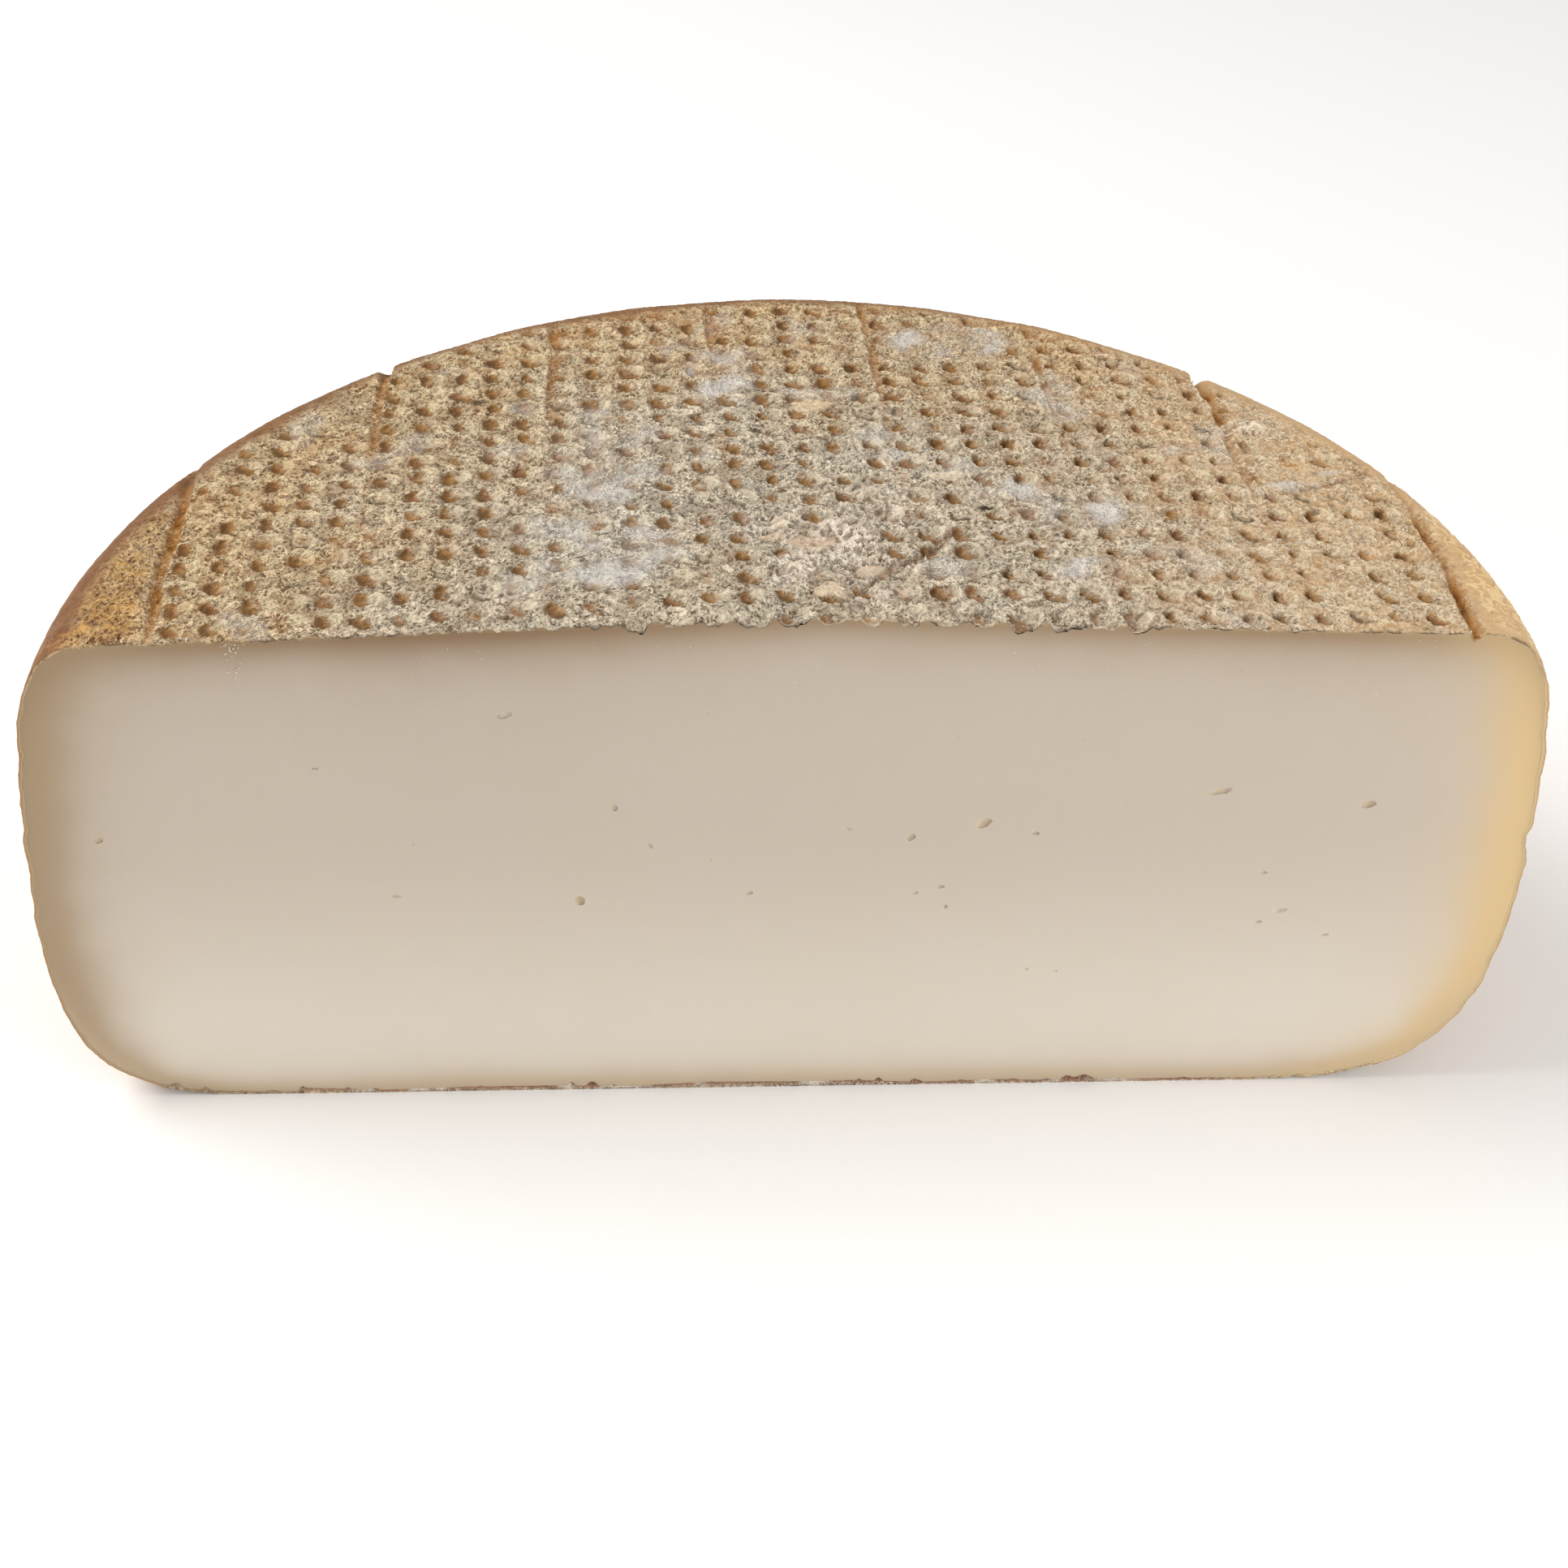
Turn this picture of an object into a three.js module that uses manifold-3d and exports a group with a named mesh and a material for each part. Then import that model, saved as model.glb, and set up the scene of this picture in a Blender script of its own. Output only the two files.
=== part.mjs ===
// Half of a round cheese wheel, cut through its centre and resting on its flat underside.
// It is one solid: paste and rind are the same piece, and the rind is only its outer skin.
// Millimetres, +Z up. X runs along the cut, and the cut face looks along -Y.
// The origin is under the middle of the half wheel, on the surface that it rests on.

import * as THREE from "three";
import { mergeVertices } from "three/addons/utils/BufferGeometryUtils.js";
import Module from "manifold-3d";

// ---- Driving dimensions ----

// The wheel is a little uneven, so its left and right ends have their own sizes, and every
// direction between them is a blend of the two.
const LEFT_END = {
  reach: 142.2, // largest radius, at the belly of the side
  bellyHeight: 47.0, // height of that largest radius
  restRadius: 97.4, // where the flat underside ends
  lean: 6.3, // how far the side leans in on its way up from the belly
};
const RIGHT_END = {
  reach: 137.8,
  bellyHeight: 59.6,
  restRadius: 82.0,
  lean: 4.5,
};
const FOOT_FULLNESS = 3.6; // exponent of a rounding: 2 is an ellipse, more is squarer
const SHOULDER_FULLNESS = 4.7;
const SHOULDER_RADIUS = 111.6; // where the top starts to round over
const SHOULDER_HEIGHT = 111.3; // height of the top there
const CROWN_HEIGHT = 116.0; // height of the top over the wheel's axis
// Slow unevenness of the side, as a radius. It is nothing at the two ends.
const SIDE_WAVES = [
  { amount: 2.15, turns: 1 },
  { amount: -0.41, turns: 3 },
  { amount: 0.37, turns: 5 },
];

// The mould leaves straight grooves over the top and a square grid of pits between the first
// and the last of them. It is turned a little against the cut: the u direction runs along the
// rows of pits, v along the grooves.
const MOULD_TURN = THREE.MathUtils.degToRad(2.15);
const GROOVES = [
  { u: -111.3, depth: 1.5 },
  { u: -77.2, depth: 0.8 },
  { u: -43.2, depth: 0.7 },
  { u: -10.2, depth: 0.7 },
  { u: 22.6, depth: 0.9 },
  { u: 56.3, depth: 0.7 },
  { u: 89.0, depth: 1.4 },
  { u: 117.9, depth: 1.7 },
];
const GROOVE_WIDTH = 2.4;
const GROOVE_END_SHARE = 0.8; // how far over the back shoulder the grooves run
const PIT_PITCH = 6.656;
const FIRST_PIT_COLUMN_U = -107.4;
const FIRST_PIT_ROW_V = 0.46;
const PIT_FIELD_RADIUS = 120.0;
const PIT_RADIUS = 2.5; // half of a pit's diagonal
const PIT_DEPTH = 1.9;
const PIT_SCATTER = 0.4; // how far a pit strays from its place in the grid

// Where the rind is torn, creased or rubbed smooth there are no pits: ovals over the top.
const BARE_PATCHES = [
  { x: 8.7, y: 22.0, halfWidth: 10.0, halfDepth: 17.0 },
  { x: 35.2, y: 106.0, halfWidth: 14.0, halfDepth: 10.0 },
  { x: 26.5, y: 49.3, halfWidth: 4.0, halfDepth: 4.0 },
  { x: 101.0, y: 48.0, halfWidth: 13.0, halfDepth: 6.0 },
  { x: 98.0, y: 72.0, halfWidth: 10.0, halfDepth: 11.0 },
  { x: -94.0, y: 78.0, halfWidth: 13.0, halfDepth: 8.0 },
];

// Gas holes that the knife opened in the cut face: place from the axis, height, radius.
const EYES = [
  { x: -127.1, z: 67.4, radius: 0.9 },
  { x: -40.2, z: 51.2, radius: 1.2 },
  { x: -32.9, z: 73.8, radius: 0.8 },
  { x: 34.9, z: 69.1, radius: 1.4 },
  { x: 21.6, z: 65.9, radius: 0.9 },
  { x: 77.5, z: 76.0, radius: 1.9 },
  { x: 105.6, z: 72.6, radius: 1.3 },
  { x: 93.0, z: 46.5, radius: 1.2 },
];
const EYE_SET_BACK = 0.35; // share of its radius by which a hole's centre lies behind the cut

// How finely the round shape is divided.
const TURN_STEPS = 48; // round the whole wheel
const FOOT_STEPS = 5;
const SHOULDER_STEPS = 6;
const PIT_SIDES = 4;
const GROOVE_STEPS = 8;
const EYE_DETAIL = 1;
const HALVINGS = 24;
const OVERSHOOT = 5.0; // how far a cutting shape reaches past what it cuts

// ---- The wheel's surface ----

const wave = (angle) =>
  SIDE_WAVES.reduce((sum, w) => sum + w.amount * Math.sin(w.turns * angle), 0);

// The sizes of the wheel's section in one direction: angle 0 is the right end, PI the left end.
function sectionAt(angle) {
  const rightShare = (1 + Math.cos(angle)) / 2;
  const section = {};
  for (const key of Object.keys(LEFT_END)) {
    section[key] = THREE.MathUtils.lerp(LEFT_END[key], RIGHT_END[key], rightShare);
  }
  section.reach += wave(angle);
  return section;
}

// The top is a very low cone.
const crownHeight = (radius) =>
  THREE.MathUtils.lerp(CROWN_HEIGHT, SHOULDER_HEIGHT, radius / SHOULDER_RADIUS);

// A section's radius and height on the shoulder, for a turn from 0, at the belly, to 1, on top.
function shoulderPoint(section, turn) {
  const angle = (turn * Math.PI) / 2;
  const out = Math.max(0, Math.cos(angle)) ** (2 / SHOULDER_FULLNESS);
  const up = Math.sin(angle) ** (2 / SHOULDER_FULLNESS);
  const radius = SHOULDER_RADIUS + (section.reach - SHOULDER_RADIUS) * out - section.lean * out * up;
  return [radius, section.bellyHeight + (SHOULDER_HEIGHT - section.bellyHeight) * up];
}

// The same on the foot, for a turn from 0, where the side leaves the floor, to 1, at the belly.
function footPoint(section, turn) {
  const angle = (turn * Math.PI) / 2;
  const out = Math.sin(angle) ** (2 / FOOT_FULLNESS);
  const down = Math.max(0, Math.cos(angle)) ** (2 / FOOT_FULLNESS);
  const radius = section.restRadius + (section.reach - section.restRadius) * out;
  return [radius, section.bellyHeight * (1 - down)];
}

// The rows of the section, from the middle of the underside to the middle of the top.
// Each row turns a section into a radius and a height.
function sectionRows() {
  const rows = [() => [0, 0], (s) => [s.restRadius, 0]];
  for (let step = 1; step <= FOOT_STEPS; step += 1) {
    rows.push((s) => footPoint(s, step / FOOT_STEPS));
  }
  for (let step = 1; step <= SHOULDER_STEPS; step += 1) {
    rows.push((s) => shoulderPoint(s, step / SHOULDER_STEPS));
  }
  rows.push(() => [0, CROWN_HEIGHT]);
  return rows;
}

// Height of the top surface over a point of the wheel, measured from its axis. On the shoulder
// the turn with that radius is found by halving.
function topHeight(x, y) {
  const radius = Math.hypot(x, y);
  if (radius <= SHOULDER_RADIUS) {
    return crownHeight(radius);
  }
  const section = sectionAt(Math.atan2(y, x));
  let [low, high] = [0, 1];
  for (let halving = 0; halving < HALVINGS; halving += 1) {
    const turn = (low + high) / 2;
    if (shoulderPoint(section, turn)[0] > radius) {
      low = turn;
    } else {
      high = turn;
    }
  }
  return shoulderPoint(section, low)[1];
}

// ---- Solids ----

const wasm = await Module();
wasm.setup();

// A closed geometry as a solid. Triangles that shrank to a line at a pole are left out.
function toSolid(geometry) {
  const bare = geometry.clone();
  bare.deleteAttribute("normal");
  bare.deleteAttribute("uv");
  const merged = mergeVertices(bare, 1e-4);
  const corners = merged.index.array;
  const kept = [];
  for (let i = 0; i < corners.length; i += 3) {
    const [a, b, c] = [corners[i], corners[i + 1], corners[i + 2]];
    if (a !== b && b !== c && c !== a) {
      kept.push(a, b, c);
    }
  }
  return new wasm.Manifold(new wasm.Mesh({
    numProp: 3,
    vertProperties: new Float32Array(merged.attributes.position.array),
    triVerts: new Uint32Array(kept),
  }));
}

function toGeometry(solid) {
  const mesh = solid.getMesh();
  const geometry = new THREE.BufferGeometry();
  geometry.setAttribute("position", new THREE.BufferAttribute(mesh.vertProperties, mesh.numProp));
  geometry.setIndex(new THREE.BufferAttribute(mesh.triVerts, 1));
  return geometry;
}

// The whole wheel: a lathe's rows and turns, with each vertex set out by its own section.
// The two turns that lie in the cut are put exactly on its plane.
function wholeWheel() {
  const rows = sectionRows();
  const plan = rows.map((row) => new THREE.Vector2(...row(RIGHT_END)));
  const lathe = new THREE.LatheGeometry(plan, TURN_STEPS);
  const { position, uv } = lathe.attributes;
  for (let i = 0; i < position.count; i += 1) {
    const step = Math.round(uv.getX(i) * TURN_STEPS) % TURN_STEPS;
    const angle = (step / TURN_STEPS) * 2 * Math.PI;
    const row = rows[Math.round(uv.getY(i) * (rows.length - 1))];
    const [radius, height] = row(sectionAt(angle));
    const isInCut = step % (TURN_STEPS / 2) === 0;
    position.setXYZ(i, radius * Math.cos(angle), isInCut ? 0 : radius * Math.sin(angle), height);
  }
  return toSolid(lathe);
}

// Everything in front of the cut. The box's back face lies exactly on the cut plane.
function frontHalf() {
  const reach = LEFT_END.reach + OVERSHOOT;
  const box = new THREE.BoxGeometry(1, 1, 1);
  box.translate(0, -0.5, 0);
  box.scale(2 * reach, reach, CROWN_HEIGHT + 2 * OVERSHOOT);
  box.translate(0, 0, CROWN_HEIGHT / 2);
  return toSolid(box);
}

// A place in the mould's grid as a place over the wheel.
function fromGrid(u, v) {
  const [cos, sin] = [Math.cos(MOULD_TURN), Math.sin(MOULD_TURN)];
  return { x: u * cos - v * sin, y: u * sin + v * cos };
}

// A bar with a V underneath that follows the top from the cut to the back shoulder.
function grooveCutter({ u, depth }) {
  const endRadius = SHOULDER_RADIUS + GROOVE_END_SHARE * (RIGHT_END.reach - SHOULDER_RADIUS);
  const length = Math.sqrt(endRadius ** 2 - u ** 2) + 2 * OVERSHOOT;
  const bar = new THREE.BoxGeometry(GROOVE_WIDTH, length, 1, 2, GROOVE_STEPS, 1);
  bar.translate(u, length / 2 - 2 * OVERSHOOT, 0);
  const { position } = bar.attributes;
  for (let i = 0; i < position.count; i += 1) {
    const isUnder = position.getZ(i) < 0;
    const isMiddle = Math.abs(position.getX(i) - u) < GROOVE_WIDTH / 4;
    const { x, y } = fromGrid(position.getX(i), position.getY(i));
    const under = isMiddle ? -depth : depth / 4;
    position.setXYZ(i, x, y, topHeight(x, Math.max(0, y)) + (isUnder ? under : OVERSHOOT));
  }
  return toSolid(bar);
}

// A fixed scatter between -1 and 1 for a pit's column and row.
function scatter(column, row, salt) {
  const value = Math.sin(column * 12.9898 + row * 78.233 + salt * 37.719) * 43758.5453;
  return 2 * (value - Math.floor(value)) - 1;
}

function isBare(x, y) {
  return BARE_PATCHES.some((patch) => {
    const across = (x - patch.x) / patch.halfWidth;
    const along = (y - patch.y) / patch.halfDepth;
    return Math.hypot(across, along) < 1;
  });
}

// The middles of the pits, over the part of the top that the mould's grid reached.
function pitPlaces() {
  const places = [];
  const columns = Math.floor((GROOVES.at(-1).u - FIRST_PIT_COLUMN_U) / PIT_PITCH);
  const rows = Math.ceil(PIT_FIELD_RADIUS / PIT_PITCH);
  for (let row = -1; row <= rows; row += 1) {
    for (let column = 0; column <= columns; column += 1) {
      const u = FIRST_PIT_COLUMN_U + column * PIT_PITCH + PIT_SCATTER * scatter(column, row, 1);
      const v = FIRST_PIT_ROW_V + row * PIT_PITCH + PIT_SCATTER * scatter(column, row, 2);
      const { x, y } = fromGrid(u, v);
      const onTop = Math.hypot(x, y) < PIT_FIELD_RADIUS && y > -PIT_RADIUS;
      if (onTop && !isBare(x, y)) {
        places.push({ x, y });
      }
    }
  }
  return places;
}

// A pyramid, point down, whose edges cross the top surface at the pit's radius. Its sides lie
// along the grid.
function pitCutter({ x, y }) {
  const rise = 0.5 * PIT_DEPTH;
  const height = PIT_DEPTH + rise;
  const radius = (PIT_RADIUS * height) / PIT_DEPTH;
  const cone = new THREE.ConeGeometry(radius, height, PIT_SIDES);
  cone.rotateX(-Math.PI / 2);
  cone.rotateZ(MOULD_TURN + Math.PI / PIT_SIDES);
  cone.translate(x, y, topHeight(x, Math.max(0, y)) - PIT_DEPTH + height / 2);
  return toSolid(cone);
}

function eyeCutter({ x, z, radius }) {
  const ball = new THREE.IcosahedronGeometry(radius, EYE_DETAIL);
  ball.translate(x, EYE_SET_BACK * radius, z);
  return toSolid(ball);
}

function halfWheel() {
  const cutters = [
    frontHalf(),
    ...GROOVES.map(grooveCutter),
    ...pitPlaces().map(pitCutter),
    ...EYES.map(eyeCutter),
  ];
  return cutters.reduce((solid, cutter) => solid.subtract(cutter), wholeWheel());
}

// Puts the origin under the middle of the piece's box, on the surface that it rests on.
function centreOnBase(geometry) {
  geometry.computeBoundingBox();
  const { min, max } = geometry.boundingBox;
  geometry.translate(-(min.x + max.x) / 2, -(min.y + max.y) / 2, -min.z);
  return geometry;
}

// ---- The part ----

const rindMaterial = new THREE.MeshStandardMaterial({
  color: 0xd2b990,
  roughness: 0.8,
  metalness: 0,
});

const cheese = new THREE.Mesh(centreOnBase(toGeometry(halfWheel())), rindMaterial);
cheese.name = "cheese_half_wheel";

const part = new THREE.Group();
part.add(cheese);

export default part;
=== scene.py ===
"""Half of a round cheese wheel, cut through its centre: a pitted rind, the cut paste with its
small gas holes, crumbs of both, and a pale studio round them.

Sizes inside the functions are millimetres in the wheel's own places: x runs along the cut from
the wheel's axis, y goes into the wheel from the cut, z is the height over the base."""

import math

import bmesh
import bpy
import numpy as np
from bpy.props import FloatProperty, FloatVectorProperty, IntProperty, PointerProperty
from mathutils import Euler, Matrix, Vector, noise


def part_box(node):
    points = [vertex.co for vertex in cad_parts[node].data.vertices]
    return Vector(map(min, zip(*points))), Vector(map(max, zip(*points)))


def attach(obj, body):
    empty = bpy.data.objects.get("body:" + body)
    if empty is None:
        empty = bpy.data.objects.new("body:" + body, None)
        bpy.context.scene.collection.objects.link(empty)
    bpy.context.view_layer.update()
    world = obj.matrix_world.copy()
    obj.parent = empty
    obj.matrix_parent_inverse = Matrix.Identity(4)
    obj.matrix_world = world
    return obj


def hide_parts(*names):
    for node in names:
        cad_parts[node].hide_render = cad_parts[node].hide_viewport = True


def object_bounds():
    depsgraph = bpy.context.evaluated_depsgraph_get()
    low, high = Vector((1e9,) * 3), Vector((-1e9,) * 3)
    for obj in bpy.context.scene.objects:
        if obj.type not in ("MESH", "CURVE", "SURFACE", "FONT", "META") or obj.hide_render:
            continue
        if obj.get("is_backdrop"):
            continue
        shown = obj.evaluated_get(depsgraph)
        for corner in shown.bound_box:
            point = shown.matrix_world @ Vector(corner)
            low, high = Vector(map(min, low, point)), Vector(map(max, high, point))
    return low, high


bl_info = {
    "name": "Cheese Half Wheel",
    "version": (1, 0, 0),
    "blender": (4, 5, 0),
    "location": "3D View > Sidebar > Cheese",
    "description": "Builds a cut cheese wheel with a pitted rind, its paste and its crumbs",
    "category": "Mesh",
}

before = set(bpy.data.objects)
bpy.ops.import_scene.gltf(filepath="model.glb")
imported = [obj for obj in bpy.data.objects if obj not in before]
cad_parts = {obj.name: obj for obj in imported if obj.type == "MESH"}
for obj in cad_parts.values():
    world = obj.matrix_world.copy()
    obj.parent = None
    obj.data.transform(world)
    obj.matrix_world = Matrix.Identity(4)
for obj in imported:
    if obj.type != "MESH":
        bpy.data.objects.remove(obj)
CAD_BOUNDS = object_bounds()
NODE = "cheese_half_wheel"
LOW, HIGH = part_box(NODE)
MM = 0.001

# Slow unevenness of the side, as a radius: amount in millimetres and waves round the wheel.
SIDE_WAVES = ((2.15, 1), (-0.41, 3), (0.37, 5))

# ---- The mould's grid, in millimetres ----

MOULD_TURN = math.radians(2.15)
PIT_PITCH = 6.656
FIRST_COLUMN_U = -107.4
FIRST_ROW_V = 0.46
COLUMNS = 34
ROWS = 22
FIRST_CUT_U = -32.0  # left of this the first row of pits is closed by crumbs
LAST_CUT_X = 62.0  # right of this the cut leaves the first row of pits whole
CUP_DEPTH = 1.15  # depth of the pits that the cut opens
PITTED_RADIUS = 124.5  # the pits end about there
PIT_SEED = 11
PIT_SCATTER = 0.9  # how far the pits' places vary
PIT_TURN = math.radians(24.0)  # way up the slope of a pit's floor, from the grid's u
PLUGGED_SHARE = 0.05  # share of the pits that a plug fills
FAINT_SHARE = 0.2  # share of the pits that are plugged or faint

# Runs along the skin: the top's pieces end at the first, and all is side from the second on.
TOP_RUN = 130.0
SIDE_RUN = 146.0

# Grooves from left to right: their u, then the depth at each of the stations of the way back.
GROOVE_STATIONS = (0.0, 0.4, 0.6, 1.0)
GROOVES = (
    (-111.3, 0.1, 1.4, 1.5, 1.6),
    (-77.2, 0.1, 0.2, 0.5, 1.4),
    (-43.2, 0.1, 0.15, 0.3, 1.2),
    (-10.2, 0.1, 0.15, 0.2, 0.9),
    (22.6, 0.1, 0.2, 0.4, 1.1),
    (56.3, 0.05, 0.1, 0.3, 1.2),
    (89.0, 0.0, 0.15, 0.6, 2.4),
    (117.9, 1.4, 1.9, 1.9, 1.7),
)
GROOVE_HALF_WIDTH = 1.2
GROOVE_REACH = 124.0  # radius at which the way back ends

# Ovals over the top: x, y, half width, half depth, strength.
BARE_PATCHES = (
    (7.5, 22.0, 8.0, 13.0, 0.9),
    (35.2, 106.0, 16.0, 11.0, 1.0),
    (26.5, 49.3, 5.0, 4.5, 1.0),
    (101.5, 49.5, 14.0, 5.5, 0.95),
    (98.0, 72.0, 11.0, 12.0, 0.9),
    (-94.0, 80.0, 15.0, 9.0, 0.85),
    (6.6, 77.1, 6.0, 3.5, 0.8),
    (58.6, 78.1, 5.0, 4.0, 0.6),
)
TORN_PATCHES = (
    (9.8, 24.0, 7.0, 12.0, 1.0),
    (0.5, 16.5, 7.0, 6.0, 1.0),
    (-3.0, 31.0, 7.0, 7.0, 0.7),
    (14.0, 38.0, 10.0, 8.0, 0.6),
    (14.0, 8.0, 8.0, 6.0, 0.5),
    (25.0, 17.0, 9.0, 4.0, 0.5),
    (89.5, 69.8, 6.5, 4.0, 0.8),
)
BLOOM_PATCHES = (
    (35.2, 106.0, 16.0, 9.0, 1.0),
    (-12.2, 90.6, 9.0, 16.0, 0.9),
    (-34.6, 55.4, 15.0, 28.0, 0.75),
    (-31.6, 20.2, 16.0, 14.0, 0.9),
    (-43.1, 31.3, 10.0, 8.0, 0.75),
    (52.7, 37.9, 15.0, 8.0, 1.0),
    (39.9, 43.5, 7.0, 8.0, 0.7),
    (52.2, 17.3, 9.0, 4.5, 1.0),
    (26.4, 16.8, 9.0, 5.0, 0.7),
    (55.7, 84.6, 9.0, 9.0, 0.7),
    (20.7, 66.7, 9.0, 12.0, 0.55),
    (78.0, 57.7, 9.0, 7.0, 0.5),
    (91.3, 68.9, 8.0, 7.0, 0.6),
    (97.0, 47.6, 7.0, 2.4, 1.0),
    (107.0, 51.8, 7.0, 2.4, 1.0),
    (-80.0, 36.7, 12.0, 12.0, 0.25),
)
# Crumbly yellowish white skin by the shoulders.
CRUMBLY_PATCHES = (
    (125.0, 18.0, 5.0, 16.0, 1.0),
    (130.0, 6.0, 6.0, 7.0, 1.0),
    (120.5, 36.0, 4.0, 10.0, 0.9),
    (-119.5, 10.0, 6.5, 8.0, 1.0),
    (-117.0, 24.0, 5.5, 7.0, 0.9),
    (-114.0, 36.0, 4.0, 7.0, 0.6),
    (-126.0, 5.0, 6.0, 4.0, 0.6),
)
SPECKS = (
    (-5.9, 67.0, 1.6, 1.0, 0.9),
    (83.1, 27.7, 1.5, 1.1, 1.0),
    (36.0, 37.0, 1.9, 0.9, 1.0),
    (25.5, 23.4, 1.7, 0.8, 1.0),
    (-61.3, 81.1, 2.5, 1.5, 0.6),
    (2.4, 8.2, 0.6, 1.3, 1.0),
)
# Smooth scabs of skin: x, y, half width, half depth, rise, and how pink they are.
SCABS = (
    (3.2, 23.8, 4.6, 2.8, 0.25, 0.8),
    (5.6, 7.9, 2.7, 2.3, 0.4, 0.0),
    (13.4, 14.6, 3.2, 1.7, 0.2, 0.15),
    (-1.9, 31.0, 1.9, 2.0, 0.5, 0.0),
    (29.3, 49.2, 4.4, 1.7, 0.25, 0.1),
    (6.6, 77.1, 5.0, 2.2, 0.4, 0.1),
    (-3.5, 26.0, 2.6, 1.4, 0.3, 0.5),
)
# Pits that a round plug of skin fills, as column and row.
PLUGS = ((9, 6), (22, 3), (21, 5), (19, 2), (10, 5), (27, 9), (7, 3), (24, 12))
# Creases: points along each one, then its depth.
CREASES = (
    ((-1.6, 0.3), (3.0, 7.0), (3.4, 10.0), 0.4),
    ((8.0, 5.0), (15.8, 13.6), (24.5, 22.0), (29.0, 29.0), 0.9),
    ((92.8, 44.8), (102.0, 48.5), (111.9, 53.3), 0.6),
    ((33.4, 22.0), (57.6, 36.1), 0.35),
)

# Gas holes in the cut: x, z, half width, half height, slant in degrees, and about twice the depth.
EYES = (
    (-127.1, 67.4, 1.1, 0.8, 10.0, 1.2),
    (-40.2, 51.2, 1.05, 1.25, 0.0, 1.8),
    (-32.9, 73.8, 0.75, 1.0, 20.0, 1.2),
    (-26.6, 64.6, 0.5, 0.7, 20.0, 0.8),
    (-51.3, 95.1, 1.6, 0.8, 15.0, 0.8),
    (-74.4, 52.9, 1.2, 0.5, -10.0, 0.8),
    (-83.1, 73.1, 0.8, 0.3, 0.0, 0.3),
    (-8.3, 52.6, 0.9, 0.5, 20.0, 0.8),
    (21.6, 65.9, 1.0, 0.75, 30.0, 1.1),
    (34.9, 69.1, 1.7, 0.95, 35.0, 1.6),
    (44.6, 66.6, 0.85, 0.45, 0.0, 0.9),
    (27.7, 53.6, 0.8, 0.4, 0.0, 0.8),
    (22.7, 52.2, 0.9, 0.45, 10.0, 0.8),
    (28.8, 48.6, 0.5, 0.5, 0.0, 0.7),
    (77.5, 76.0, 2.6, 0.75, 12.0, 1.3),
    (105.6, 72.6, 1.5, 0.9, 15.0, 1.5),
    (88.4, 56.2, 0.9, 0.4, 0.0, 0.7),
    (93.0, 46.5, 1.5, 0.6, 12.0, 1.0),
    (89.3, 43.7, 0.8, 0.4, 0.0, 0.7),
    (102.8, 40.1, 0.9, 0.4, 5.0, 0.8),
    (-88.2, 89.7, 0.7, 0.3, 0.0, 0.25),
    (-85.7, 83.6, 0.6, 0.3, 0.0, 0.25),
    (-70.0, 65.5, 0.6, 0.35, 10.0, 0.5),
    (-15.7, 60.8, 0.5, 0.4, 40.0, 0.5),
    (10.1, 68.0, 0.7, 0.4, -20.0, 0.6),
    (45.7, 31.9, 0.6, 0.4, -20.0, 0.5),
    (51.2, 31.3, 0.5, 0.35, -20.0, 0.5),
    (60.6, 72.9, 0.4, 0.3, 0.0, 0.4),
)

# ---- Sizes and colours a user may change ----


def shade(name, description, colour):
    """A colour property, given as it is seen on a screen."""
    return FloatVectorProperty(
        name=name, description=description, subtype="COLOR_GAMMA", size=3, min=0, max=1, default=colour
    )


def length(name, description, default, low, high):
    """A length property, in metres."""
    return FloatProperty(
        name=name, description=description, unit="LENGTH", default=default, min=low, max=high
    )


class WheelShape(bpy.types.PropertyGroup):
    """The wheel's section at its two ends, and its top."""

    left_reach: length("Left reach", "Largest radius at the left end", 0.1422, 0.1, 0.2)
    left_belly: length("Left belly", "Height of the largest radius at the left end", 0.047, 0.02, 0.1)
    left_rest: length("Left rest", "Radius of the flat underside at the left end", 0.0974, 0.03, 0.13)
    left_lean: length("Left lean", "How far the left side leans in going up", 0.0063, 0, 0.02)
    right_reach: length("Right reach", "Largest radius at the right end", 0.1378, 0.1, 0.2)
    right_belly: length("Right belly", "Height of that largest radius", 0.0596, 0.02, 0.1)
    right_rest: length("Right rest", "Radius of the flat underside at the right", 0.082, 0.03, 0.13)
    right_lean: length("Right lean", "How far the right side leans in going up", 0.0045, 0, 0.02)
    shoulder_radius: length("Shoulder radius", "Where the top starts to round over", 0.1116, 0.08, 0.13)
    shoulder_height: length(
        "Shoulder height", "Height of the top at the shoulder", HIGH.z - LOW.z - 0.0047, 0.05, 0.2
    )
    crown_height: length(
        "Crown height", "Height of the top over the axis", HIGH.z - LOW.z, 0.05, 0.2
    )
    foot_fullness: FloatProperty(
        name="Foot fullness", description="Squareness of the foot's rounding", default=3.6, min=2, max=8
    )
    shoulder_fullness: FloatProperty(
        name="Shoulder fullness", description="Squareness of the shoulder", default=4.7, min=2, max=8
    )


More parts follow.
